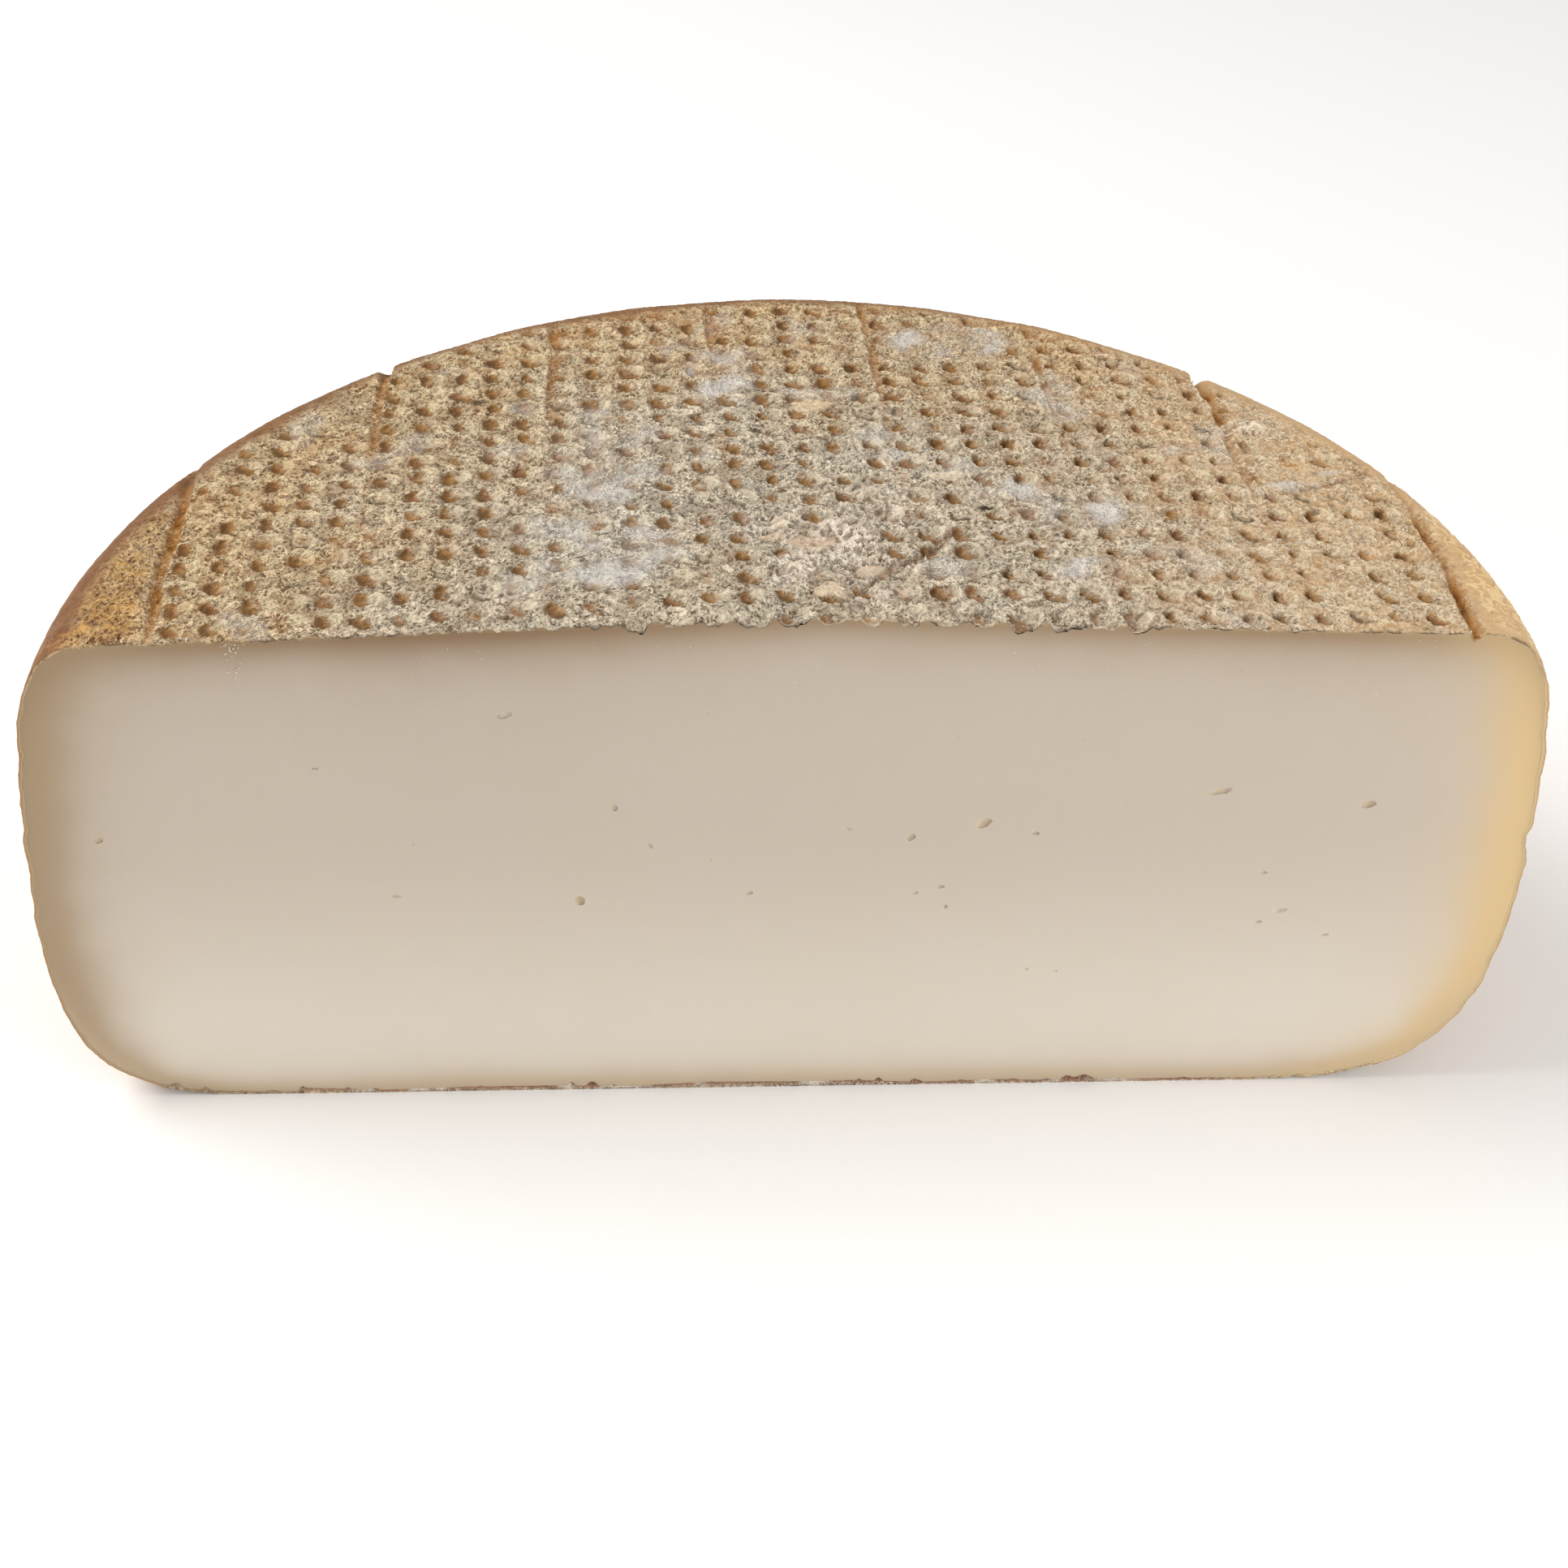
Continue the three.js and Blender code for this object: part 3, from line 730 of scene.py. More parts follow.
def set_masks(mesh, masks):
    """Stores one value for each point and each name, for the materials."""
    for name, values in masks.items():
        layer = mesh.attributes.new(name, "FLOAT", "POINT")
        layer.data.foreach_set("value", np.ascontiguousarray(values, dtype=np.float32))


def get_points(mesh):
    """The mesh's points as rows of x, y, z."""
    points = np.empty(len(mesh.vertices) * 3, dtype=np.float32)
    mesh.vertices.foreach_get("co", points)
    return points.reshape(-1, 3).astype(float)


def set_points(mesh, points):
    """Moves the mesh's points to the places given."""
    mesh.vertices.foreach_set("co", np.ascontiguousarray(points, dtype=np.float32).ravel())
    mesh.update()


def extrude_rim(bm, edges, offset):
    """Extrudes open edges, moves the new rim by offset and returns its edges."""
    made = bmesh.ops.extrude_edge_only(bm, edges=edges)["geom"]
    verts = [g for g in made if isinstance(g, bmesh.types.BMVert)]
    bmesh.ops.translate(bm, verts=verts, vec=offset)
    fresh = set(verts)
    return [g for g in made if isinstance(g, bmesh.types.BMEdge) and set(g.verts) <= fresh]


def finish_mesh(bm, name):
    """A mesh of what was built, with its faces turned outwards."""
    bmesh.ops.recalc_face_normals(bm, faces=bm.faces[:])
    mesh = bpy.data.meshes.new(name)
    bm.to_mesh(mesh)
    bm.free()
    return mesh


# ---- Materials ----


class Shader:
    """The nodes of a material or a group. Any value may be a number or another node's output, and
    any colour may be one as it is seen on a screen."""

    def __init__(self, tree):
        self.tree = tree
        self.place = self.add("ShaderNodeTexCoord").outputs["Object"]

    def add(self, kind, inputs=None, **settings):
        """A node with its settings and its inputs."""
        node = self.tree.nodes.new(kind)
        for key, value in settings.items():
            setattr(node, key, value)
        for key, value in (inputs or {}).items():
            self.feed(node, key, value)
        return node

    def feed(self, node, key, value):
        """Links or sets one input of a node."""
        socket = node.inputs[key]
        if isinstance(value, bpy.types.NodeSocket):
            self.tree.links.new(value, socket)
        else:
            socket.default_value = linear(value) if socket.type == "RGBA" else value

    def mask(self, name):
        """A value painted on the mesh's points."""
        return self.add("ShaderNodeAttribute", attribute_name=name).outputs["Fac"]

    def maths(self, operation, *values, clamp=False):
        """The result of one sum, kept from 0 to 1 where it is clamped."""
        inputs = dict(enumerate(values))
        return self.add("ShaderNodeMath", inputs, operation=operation, use_clamp=clamp).outputs[0]

    def times(self, first, *others, clamp=False):
        """All the values multiplied."""
        for other in others:
            first = self.maths("MULTIPLY", first, other, clamp=clamp)
        return first

    def less(self, value, share, start=1.0):
        """What is left of start when a share of the value is taken off it."""
        return self.maths("MULTIPLY_ADD", value, -share, start)

    def spread(self, value, low, high, bottom=0.0, top=1.0):
        """A value's range from low to high stretched to bottom to top."""
        inputs = {"Value": value, "From Min": low, "From Max": high, "To Min": bottom, "To Max": top}
        node = self.add("ShaderNodeMapRange", inputs, interpolation_type="SMOOTHSTEP")
        return node.outputs["Result"]

    def blend(self, share, first, second, mode="MIX"):
        """Two colours mixed by share."""
        inputs = {0: share, 6: first, 7: second}
        return self.add("ShaderNodeMix", inputs, data_type="RGBA", blend_type=mode).outputs[2]

    def cover(self, colour, *layers, mode="MIX"):
        """A colour under layers, each given as how much it covers and its own colour."""
        for share, layer in layers:
            colour = self.blend(share, colour, layer, mode)
        return colour

    def noise(self, scale, detail, rough, warp, place=None, **settings):
        """A noise node, in the object's own coordinates where no place is given."""
        inputs = {"Vector": place or self.place, "Scale": scale, "Detail": detail, "Roughness": rough}
        inputs["Distortion"] = warp
        return self.add("ShaderNodeTexNoise", inputs, normalize=True, **settings)

    def cloud(self, size, detail=3.0, rough=0.5, warp=0.0, place=None):
        """Noise whose lumps are about size metres across."""
        return self.noise(1 / size, detail, rough, warp, place).outputs["Fac"]

    def pattern(self, scale, detail, warp, salt):
        """Noise whose scale may be another node's output. Another salt gives another pattern."""
        node = self.noise(scale, detail, 0.6, warp, noise_dimensions="4D")
        self.feed(node, "W", salt)
        return node.outputs["Fac"]

    def lines(self, scale, detail, warp, salt, narrowness):
        """Curly lines at 1, where noise crosses its middle, and 0 between them."""
        middle = self.maths("SUBTRACT", self.pattern(scale, detail, warp, salt), 0.5)
        off = self.times(self.maths("ABSOLUTE", middle), narrowness, clamp=True)
        return self.maths("SUBTRACT", 1.0, off)

    def bump(self, height, distance, strength):
        """Normals of a height in shares of a distance in metres."""
        inputs = {"Height": height, "Distance": distance, "Strength": strength}
        return self.add("ShaderNodeBump", inputs).outputs["Normal"]

    def group(self, tree, **inputs):
        """The outputs of a shader group."""
        return self.add("ShaderNodeGroup", inputs, node_tree=tree).outputs


def new_group(name, inputs, outputs):
    """An empty shader group, its inputs and its output node: inputs as names with usual values,
    outputs as names."""
    tree = bpy.data.node_groups.new(name, "ShaderNodeTree")
    for label, usual in inputs.items():
        socket = tree.interface.new_socket(label, in_out="INPUT", socket_type="NodeSocketFloat")
        socket.default_value = usual
    for label in outputs:
        tree.interface.new_socket(label, in_out="OUTPUT", socket_type="NodeSocketFloat")
    return Shader(tree), tree.nodes.new("NodeGroupInput").outputs, tree.nodes.new("NodeGroupOutput")


def crumble_group():
    """Crumbly threads of dry skin: pale crests, dark gaps of painted shade, and a height for both."""
    name = "Crumbly skin"
    if name in bpy.data.node_groups:
        return bpy.data.node_groups[name]
    usual = {"Size": 0.0011, "Sharpness": 1.0}
    shader, given, result = new_group(name, usual, ("Crest", "Gap", "Height"))
    times, pattern, lines = shader.times, shader.pattern, shader.lines
    scale = shader.maths("DIVIDE", 1.0, given["Size"])
    threads = lines(scale, 1.0, 0.8, 0.0, 10.0)
    fine_threads = lines(times(scale, 1.6), 1.0, 0.5, 1.7, 9.0)
    patches = pattern(times(scale, 0.4), 1.0, 0.0, 3.0)
    crest = shader.maths("MAXIMUM", threads, fine_threads)
    crest = times(crest, shader.spread(patches, 0.35, 0.6, 0.45, 1.0))
    grains = pattern(times(scale, 2.2), 2.0, 0.0, 5.0)
    blots = pattern(times(scale, 0.55), 2.0, 0.0, 7.0)
    # Painted shade in the gaps between the threads, in blots.
    gap = times(lines(times(scale, 0.8), 2.0, 0.6, 9.0, 22.0), shader.spread(blots, 0.48, 0.6))
    gap = times(gap, given["Sharpness"], clamp=True)
    height = shader.maths("SUBTRACT", times(crest, 0.8), times(gap, 0.4))
    height = shader.maths("MULTIPLY_ADD", grains, 0.5, height)
    for label, value in (("Crest", crest), ("Gap", gap), ("Height", height)):
        shader.feed(result, label, value)
    return shader.tree


def bloom_group():
    """Thin white mould: how much of it covers a place, given how much of it grows there."""
    name = "White bloom"
    if name in bpy.data.node_groups:
        return bpy.data.node_groups[name]
    shader, given, result = new_group(name, {"Growth": 0.3}, ("Cover",))
    wide = shader.cloud(0.006, detail=4.0, rough=0.65)
    tight = shader.cloud(0.0012, rough=0.7, warp=1.5)
    amount = shader.maths("MULTIPLY_ADD", wide, 0.9, given["Growth"])
    amount = shader.maths("MULTIPLY_ADD", tight, 0.9, amount)
    shader.feed(result, "Cover", shader.spread(amount, 0.95, 2.1))
    return shader.tree


def new_material(name):
    """A material, its nodes and its own shader node."""
    material = bpy.data.materials.new(name)
    material.use_nodes = True
    tree = material.node_tree
    return material, Shader(tree), tree.nodes["Principled BSDF"]


def rind_material():
    """The skin: its body colours with painted shade towards the left and front of the top, then each
    mark of the mould with painted shade and light in and round the pits, the tears and the mould's bloom.
    """
    look = bpy.context.scene.rind_look
    material, shader, surface = new_material("dry pitted rind")
    mask, times, less = shader.mask, shader.times, shader.less
    spread, blend = shader.spread, shader.blend
    border, side, right, warm, peach = map(mask, ("border", "side", "right", "warm", "peach"))
    floor, thread, torn, groove, scab = map(mask, ("pit", "crest", "torn", "groove", "scab"))
    crumble = shader.group(crumble_group(), Size=0.0018, Sharpness=0.75)
    wide, other, middle = shader.cloud(0.02), shader.cloud(0.009, detail=2.0), shader.cloud(0.0035)
    cream = blend(times(warm, 0.7), look.cream, look.golden)

    rust = times(spread(shader.cloud(0.013, detail=2.0), 0.46, 0.62), warm)
    body = shader.cover(
        look.tan,
        (spread(wide, 0.35, 0.65), look.grey),
        (times(warm, 0.8), look.warm),
        (spread(other, 0.44, 0.66, 0.0, 0.7), look.pink),
        (times(rust, 0.8), look.rust),
        (times(peach, 0.75), look.peach),
    )
    # Painted shade: the body is darkened towards the left and front of the top.
    level = shader.maths("MULTIPLY_ADD", mask("pale"), 0.42, 0.6)
    body = blend(1.0, body, level, mode="MULTIPLY")

    skin = blend(spread(right, 0.5, 1.0), look.left_border, look.right_border)
    side_skin = blend(spread(wide, 0.42, 0.62, 0.0, 0.45), look.side, look.rust)
    skin = blend(times(side, 0.75), skin, side_skin)
    skin = blend(spread(middle, 0.3, 0.7, 0.0, 0.5), skin, blend(0.2, skin, cream))

    # The pits' colour: bare orange brown with painted shade on the steep side, going to the darker
    # painted shade of the deepest place.
    depth = shader.maths("MULTIPLY_ADD", shader.maths("SUBTRACT", middle, 0.5), 0.9, floor)
    depth = times(depth, spread(floor, 0.0, 0.25))
    pit = spread(depth, 0.05, 0.85)
    pit_colour = blend(mask("pit_tint"), look.pit, look.red_pit)
    pit_colour = blend(spread(depth, 0.5, 1.0), pit_colour, look.deep_pit_shade)
    # The pit's far side: pale crumbs, with painted light on the wall that faces the light.
    far_side_and_light = times(mask("pit_far"), spread(middle, 0.3, 0.6, 0.2, 0.7))

    # Painted shade: darker where the groove is deeper.
    groove_colour = blend(spread(groove, 0.9, 1.5), look.groove, look.deep_groove_shade)
    chalk = blend(right, look.left_chalk, look.right_chalk)
    scab_colour = blend(mask("pink"), look.scab, look.pink_scab)

    calm = times(less(border, 0.92), less(peach, 0.15))
    covered = times(calm, less(shader.maths("MAXIMUM", pit, far_side_and_light), 0.5))
    body = shader.cover(
        body,
        (times(mask("stain"), 0.75), look.stain),
        (times(border, 0.9), skin),
        (times(thread, spread(middle, 0.3, 0.6, 0.1, 0.5), calm), cream),
        # Painted shade in the chinks between the threads.
        (times(mask("hollow"), calm, 0.7), look.gap),
        (far_side_and_light, look.far_side_and_light),
        (times(crumble["Crest"], covered, clamp=True), blend(0.65, cream, look.bright)),
        # Painted shade in the gaps between the fine crumbs.
        (times(crumble["Gap"], covered, less(peach, 0.16, 0.44)), look.gap),
        (times(pit, 0.96), pit_colour),
        (times(groove, 0.9, clamp=True), groove_colour),
        (times(mask("crease"), 0.8), look.crease),
        (times(mask("crumbly"), spread(thread, 0.05, 0.6, 0.0, 0.6)), chalk),
        # Painted shade between the torn flakes, where no threads are.
        (times(torn, spread(thread, 0.0, 0.2, 0.6, 0.0)), look.torn_gap_shade),
        (times(torn, spread(thread, 0.05, 0.5, 0.3, 0.95)), look.torn),
        (times(scab, spread(middle, 0.35, 0.6, 0.2, 0.7)), scab_colour),
        (times(mask("rim"), spread(middle, 0.3, 0.55, 0.3, 1.0), 0.8), look.rim),
        # Painted shadow under the front left edge of each pit.
        (times(mask("seam"), 0.8), look.seam),
    )
    body = shader.cover(
        body,
        (times(warm, less(peach, 0.5, 0.9)), look.warm_tint),
        (times(rust, 0.5), look.warm_tint),
        (mask("amber"), look.amber_tint),
        mode="MULTIPLY",
    )

    base_lip = blend(spread(other, 0.5, 0.6), look.base_lip, look.base_fleck)
    # The cut edge of the skin: pale crumbs over painted shade, and the side's and the base's own colours.
    lip = shader.cover(
        look.gap,
        (spread(middle, 0.4, 0.6, 0.1, 0.8), cream),
        # At the right, the skin's cut edge holds a painted glow of light shining through the rind.
        (side, blend(mask("under"), blend(right, look.left_lip, look.right_lip_and_glow), base_lip)),
    )
    bloom = shader.group(bloom_group(), Growth=mask("bloom"))["Cover"]
    body = shader.cover(
        body,
        (times(bloom, 0.75), look.bloom),
        (times(mask("speck"), spread(middle, 0.35, 0.6)), look.speck),
        (mask("lip"), lip),
    )

    roughness = shader.maths("MULTIPLY_ADD", floor, -0.25, less(border, 0.22, 0.9), clamp=True)
    shader.feed(surface, "Base Color", body)
    shader.feed(surface, "Roughness", roughness)
    height = times(crumble["Height"], covered, less(scab, 0.8))
    shader.feed(surface, "Normal", shader.bump(height, 0.0006, 0.95))
    shader.feed(surface, "Specular IOR Level", 0.35)
    return material


def paste_material():
    """The cut paste: ivory, darker under the rind, and faintly streaked by the knife."""
    look = bpy.context.scene.paste_look
    material, shader, surface = new_material("cut paste")
    mask, times, spread, blend = shader.mask, shader.times, shader.spread, shader.blend
    wide, fine = shader.cloud(0.03, detail=2.0), shader.cloud(0.0016)
    under_rind = shader.cover(
        # At the right, the band under the rind holds a painted glow of light shining through the rind.
        blend(mask("right"), look.left_band, look.right_band_and_glow),
        (mask("upward"), blend(mask("dusk"), look.top_band, look.dark_band)),
        (mask("downward"), look.base_band),
    )
    colour = shader.cover(
        look.heart,
        # Painted light from the floor: paler towards the base.
        (spread(mask("height"), 0.02, 0.62, 1.0, 0.0), look.low_heart_with_bounce_light),
        (mask("band"), under_rind),
        (times(mask("edge"), 0.3), look.cut_edge),
        (spread(wide, 0.3, 0.7, 0.0, 0.06), look.cloudy),
        (mask("hole"), look.hole),
    )
    streaks = shader.add("ShaderNodeMapping", {"Vector": shader.place, "Scale": (1.0, 1.0, 0.12)})
    drag = shader.cloud(0.0022, place=streaks.outputs["Vector"])
    height = shader.maths("MULTIPLY_ADD", drag, 0.6, times(fine, 0.4))
    shader.feed(surface, "Base Color", colour)
    shader.feed(surface, "Roughness", spread(fine, 0.3, 0.7, 0.42, 0.56))
    shader.feed(surface, "Normal", shader.bump(height, 0.00008, 0.5))
    shader.feed(surface, "Specular IOR Level", 0.35)
    shader.feed(surface, "Subsurface Weight", 0.2)
    shader.feed(surface, "Subsurface Radius", (1.0, 0.7, 0.45))
    shader.feed(surface, "Subsurface Scale", 0.003)
    return material


def crumb_material(name, pale, deep):
    """Dry crumbs in patches of two colours."""
    look = bpy.context.scene.crumb_look
    material, shader, surface = new_material(name)
    crumble = shader.group(crumble_group(), Size=0.0009, Sharpness=0.6)
    bloom = shader.group(bloom_group(), Growth=0.35)["Cover"]
    patch = shader.cloud(0.0008, detail=1.0)
    colour = shader.cover(
        deep,
        (shader.spread(patch, 0.35, 0.65), pale),
        # Painted shade in the gaps between the crumbs' threads.
        (shader.times(crumble["Gap"], 0.3), look.crumb_gap_shade),
        (shader.times(bloom, 0.5), look.crumb_bloom),
    )
    shader.feed(surface, "Base Color", colour)
    shader.feed(surface, "Roughness", shader.spread(patch, 0.3, 0.7, 0.75, 0.9))
    shader.feed(surface, "Normal", shader.bump(crumble["Height"], 0.0002, 0.7))
    return material


# ---- Operators ----

TOP_PIECES = ("rind_top_left", "rind_top_middle", "rind_top_right")
TOP_COLUMNS = 240
TOP_ROWS = 360
SIDE_COLUMNS = 480
SIDE_ROWS = 168
UNDER_ROWS = 6
SHELL = 3.0  # thickness of the rind's pieces
TRAY_DEPTH = 3.0  # how far behind the cut the shell's inner edge starts
TINY = 1e-4  # closer than this to the rim of a flat sheet is on it


def with_hem(bm, loop):
    """Extrudes an open rim twice downwards: the skin's edge, then the shell's inner edge."""
    for _ in range(2):
        loop = extrude_rim(bm, loop, (0, 0, -1))
    return loop


def top_sheet():
    """A piece of the top laid out flat: a fine sheet with a hem, and a cap underneath."""
    bm = bmesh.new()
    bmesh.ops.create_grid(bm, x_segments=TOP_COLUMNS, y_segments=TOP_ROWS, size=1)
    loop = with_hem(bm, [e for e in bm.edges if e.is_boundary])
    bmesh.ops.edgeloop_fill(bm, edges=loop)
    return bm


def side_sheet():
    """The side and the underside laid out flat: x goes round the wheel, y from the top down to
    the middle of the underside. One cap closes it behind the cut and one under the top."""
    bm = bmesh.new()
    bmesh.ops.create_grid(bm, x_segments=SIDE_COLUMNS, y_segments=SIDE_ROWS + UNDER_ROWS, size=1)
    bmesh.ops.rotate(bm, verts=bm.verts[:], matrix=Matrix.Rotation(math.pi, 3, "X"))
    pole = [v for v in bm.verts if v.co.y > 1 - TINY]
    bmesh.ops.pointmerge(bm, verts=pole, merge_co=(0, 1, 0))
    loop = with_hem(bm, [e for e in bm.edges if e.is_boundary])
    upper = [e for e in loop if all(v.co.y < -1 + TINY for v in e.verts)]
    ends = [v for e in upper for v in e.verts if abs(v.co.x) > 1 - TINY]
    bridge = bmesh.ops.contextual_create(bm, geom=ends)["edges"]
    lower = [e for e in loop if e not in set(upper)]
    bmesh.ops.edgeloop_fill(bm, edges=upper + bridge)
    bmesh.ops.edgeloop_fill(bm, edges=lower + bridge)
    return bm


class CHEESE_OT_rind(bpy.types.Operator):
    """Build the rind: three pieces of the pitted top, and the side with the underside"""

    bl_idname = "cheese.rind"
    bl_label = "Rind"

    def execute(self, context):
        surface = Surface()
        material = rind_material()
        for index, name in enumerate(TOP_PIECES):
            self.build_top(surface, material, index, name)
        self.build_side(surface, material)
        return {"FINISHED"}

    def build_top(self, surface, material, index, name):
        """One piece of the top: its share of a rectangle that is bent to a half disc."""
        mesh = finish_mesh(top_sheet(), name)
        across, up, level = get_points(mesh).T
        east = (across + 2 * index + 1 - len(TOP_PIECES)) / len(TOP_PIECES)
        back = (up + 1) / 2
        outer = np.maximum(np.abs(east), back)
        beside = np.abs(east) > back
        turn = (math.pi / 4) * np.where(beside, back, east) / np.maximum(outer, 1e-9)
        angle = np.where(beside, np.where(east > 0, turn, math.pi - turn), math.pi / 2 - turn)
        self.build(surface, mesh, material, angle, outer * TOP_RUN, level, back < TINY)

    def build_side(self, surface, material):
        """The side and the underside, in rows from the top down to the middle of the underside."""
        mesh = finish_mesh(side_sheet(), "rind_side")
        across, down, level = get_points(mesh).T
        side_runs = np.linspace(TOP_RUN, surface.rest_run, SIDE_ROWS + 1)
        under_runs = np.linspace(surface.rest_run, surface.whole_run, UNDER_ROWS + 1)
        rows = (down + 1) / 2 * (SIDE_ROWS + UNDER_ROWS)
        run = np.interp(rows, np.arange(SIDE_ROWS + UNDER_ROWS + 1), [*side_runs, *under_runs[1:]])
        angle = math.pi * (1 - across) / 2
        at_cut = (np.abs(across) > 1 - TINY) | (down > 1 - TINY)
        self.build(surface, mesh, material, angle, run, level, at_cut)

    def build(self, surface, mesh, material, angle, run, level, at_cut):
        """Sets out a flat sheet as skin, with its hem turned in along the skin and the cut."""
        ring = np.rint(-level)
        skin, outward, masks = surface.skin(angle, run)
        inset = np.select([ring == 1, ring == 2], [surface.lip_width(skin), SHELL], 0.0)
        skin = skin - outward * inset[:, None]
        skin[:, 1] = np.where(at_cut, np.where(ring == 2, TRAY_DEPTH, 0.0), skin[:, 1])
        masks["lip"] = ((ring > 0) & at_cut).astype(float)
        set_points(mesh, to_frame(skin))
        set_masks(mesh, masks)
        if mesh.validate():
            raise RuntimeError(f"the mesh of {mesh.name} was faulty")
        new_object(mesh.name, mesh, material)


OUTLINE_ROWS = 801  # places of the section that stand for the outline of the cut
PASTE_SEGMENTS = 1500
FACE_DEPTH = 0.06  # how far the face lies in from the cut plane
PASTE_DEPTH = 2.7
BACK_SHARE = (0.985, 1.0, 0.97)  # size of the paste's back beside its face
INSETS = (0.0, 0.25, 0.5, 0.8, 1.2, 1.7, 2.3, 3.0, 3.9, 5.0)  # rings of the face along the rind
FAN_RINGS = 26  # rings from the last inset to the core
FAN_POWER = 1.4  # above 1 the rings lie closer together at the rind
CORE_HEIGHT_SHARE = 0.32  # height of the core line beside the crown's: no gas hole lies there
CORE_REACH = 95.0  # half the length of the core line
CORE_SHARE = 0.03  # the innermost ring's share of the way out from the core
DUSK_X, DUSK_WIDTH = -55.0, 38.0  # where the band under the top is darker and deeper


class Cut:
    """The outline of the paste in the cut: the skin's inner edge."""

    def __init__(self, surface):
        self.surface = surface
        self.core_height = CORE_HEIGHT_SHARE * surface.crown_height

    def distances(self, x, z):
        """How far places of the cut lie over the base line, under the top, from the side, and from
        the rind at all."""
        rows = np.linspace(0, 4, OUTLINE_ROWS)
        over_base, under_top, from_side = np.empty_like(x), np.empty_like(x), np.empty_like(x)
        for angle, here in ((0.0, x >= 0), (math.pi, x < 0)):
            radius, height = self.surface.section(np.full_like(rows, angle), rows)
            widest = int(np.argmax(radius))
            reach = np.abs(x[here])
            upper = np.interp(reach, radius[: widest + 1], height[: widest + 1])
            lower = np.interp(reach, radius[widest:][::-1], height[widest:][::-1])
            over_base[here], under_top[here] = z[here] - lower, upper - z[here]
            from_side[here] = np.interp(z[here], height[::-1], radius[::-1]) - reach
        sides = [np.maximum(value, 0.0) for value in (over_base, under_top, from_side)]
        return *sides, np.minimum(np.minimum(sides[0], sides[1]), sides[2])

    def line(self, signed_run):
        """The paste's edge, the bare form's edge and its outward direction as x, z, for runs that
        are positive at the right and negative at the left."""
        angle = np.where(signed_run < 0, math.pi, 0.0)
        run = np.abs(signed_run)
        skin, outward, masks = self.surface.skin(angle, run)
        bare, _ = self.surface.place(angle, run)
        crack = 0.4 * smooth(0.2, 0.8, lumps(skin, 7.0, 50.0)) * (run < 120) - 0.12
        crack = np.maximum(crack, 0.3 * masks["cup"] * smooth(-0.2, 0.3, lumps(skin, 5.0, 51.0)))
        width = self.surface.lip_width(skin) + crack
        edge = skin - outward * width[:, None]
        return edge[:, [0, 2]], bare[:, [0, 2]], outward[:, [0, 2]]

    def rings(self, signed_run, level):
        """Places of the face: level 0 is its edge, and further levels are rings inside it."""
        edge, bare, outward = self.line(signed_run)
        inset = np.interp(level, np.arange(len(INSETS)), INSETS)[:, None]
        own = 1 - smooth(0.0, INSETS[-1], inset)
        ring = bare - outward * inset + own * (edge - bare)
        core_x = np.clip(ring[:, 0], -CORE_REACH, CORE_REACH)
        core = np.stack([core_x, np.full(len(ring), self.core_height)], 1)
        inner = np.clip((level - len(INSETS) + 1) / FAN_RINGS, 0, 1)
        share = 1 - (1 - CORE_SHARE) * inner**FAN_POWER
        return core + (ring - core) * share[:, None]


EYE_DEPTH_SHARE = 0.35  # half the depth of a gas hole's oval, as a share of the table's value
EYE_SINK_SHARE = 0.1  # how far the oval's middle lies behind the cut, as such a share


def eye_cutter():
    """All gas holes as one mesh of small lumpy ovals across the cut plane."""
    scale = bpy.context.scene.paste_look.eye_scale
    bm = bmesh.new()
    for x, z, half_width, half_height, slant, depth in EYES:
        half_depth = EYE_DEPTH_SHARE * depth
        size = Matrix.Diagonal((half_width * scale, half_depth * scale, half_height * scale, 1))
        turned = Matrix.Rotation(math.radians(-slant), 4, "Y") @ size
        matrix = Matrix.Translation((x, EYE_SINK_SHARE * depth, z)) @ turned
        bmesh.ops.create_icosphere(bm, subdivisions=3, radius=1, matrix=matrix)
    mesh = finish_mesh(bm, "eye_cutter")
    points = get_points(mesh)
    wobble = np.stack([lumps(points, 1.1, salt) for salt in (61.0, 62.0, 63.0)], 1)
    set_points(mesh, to_frame(points + 0.16 * wobble))
    return mesh


def cut_away(piece, cutter_mesh):
    """Takes the cutter's mesh out of the piece's mesh."""
    cutter = bpy.data.objects.new("cutter", cutter_mesh)
    bpy.context.scene.collection.objects.link(cutter)
    modifier = piece.modifiers.new("holes", "BOOLEAN")
    modifier.operation, modifier.solver, modifier.object = "DIFFERENCE", "EXACT", cutter
    bpy.context.view_layer.update()
    depsgraph = bpy.context.evaluated_depsgraph_get()
    cut = bpy.data.meshes.new_from_object(piece.evaluated_get(depsgraph))
    piece.modifiers.clear()
    old, piece.data = piece.data, cut
    bpy.data.meshes.remove(old)
    bpy.data.objects.remove(cutter)
    return cut


def paste_disc():
    """The paste as a round stack: its edge at level 0, the back's edge at level 1, and the rings of
    the face at -1, -2 and so on."""
    bm = bmesh.new()
    bmesh.ops.create_circle(bm, cap_ends=False, segments=PASTE_SEGMENTS, radius=1)
    loop = bm.edges[:]
    bmesh.ops.edgeloop_fill(bm, edges=extrude_rim(bm, loop, (0, 0, 1)))
    for _ in range(len(INSETS) - 1 + FAN_RINGS):
        loop = extrude_rim(bm, loop, (0, 0, -1))
    bmesh.ops.edgeloop_fill(bm, edges=loop)
    return bm


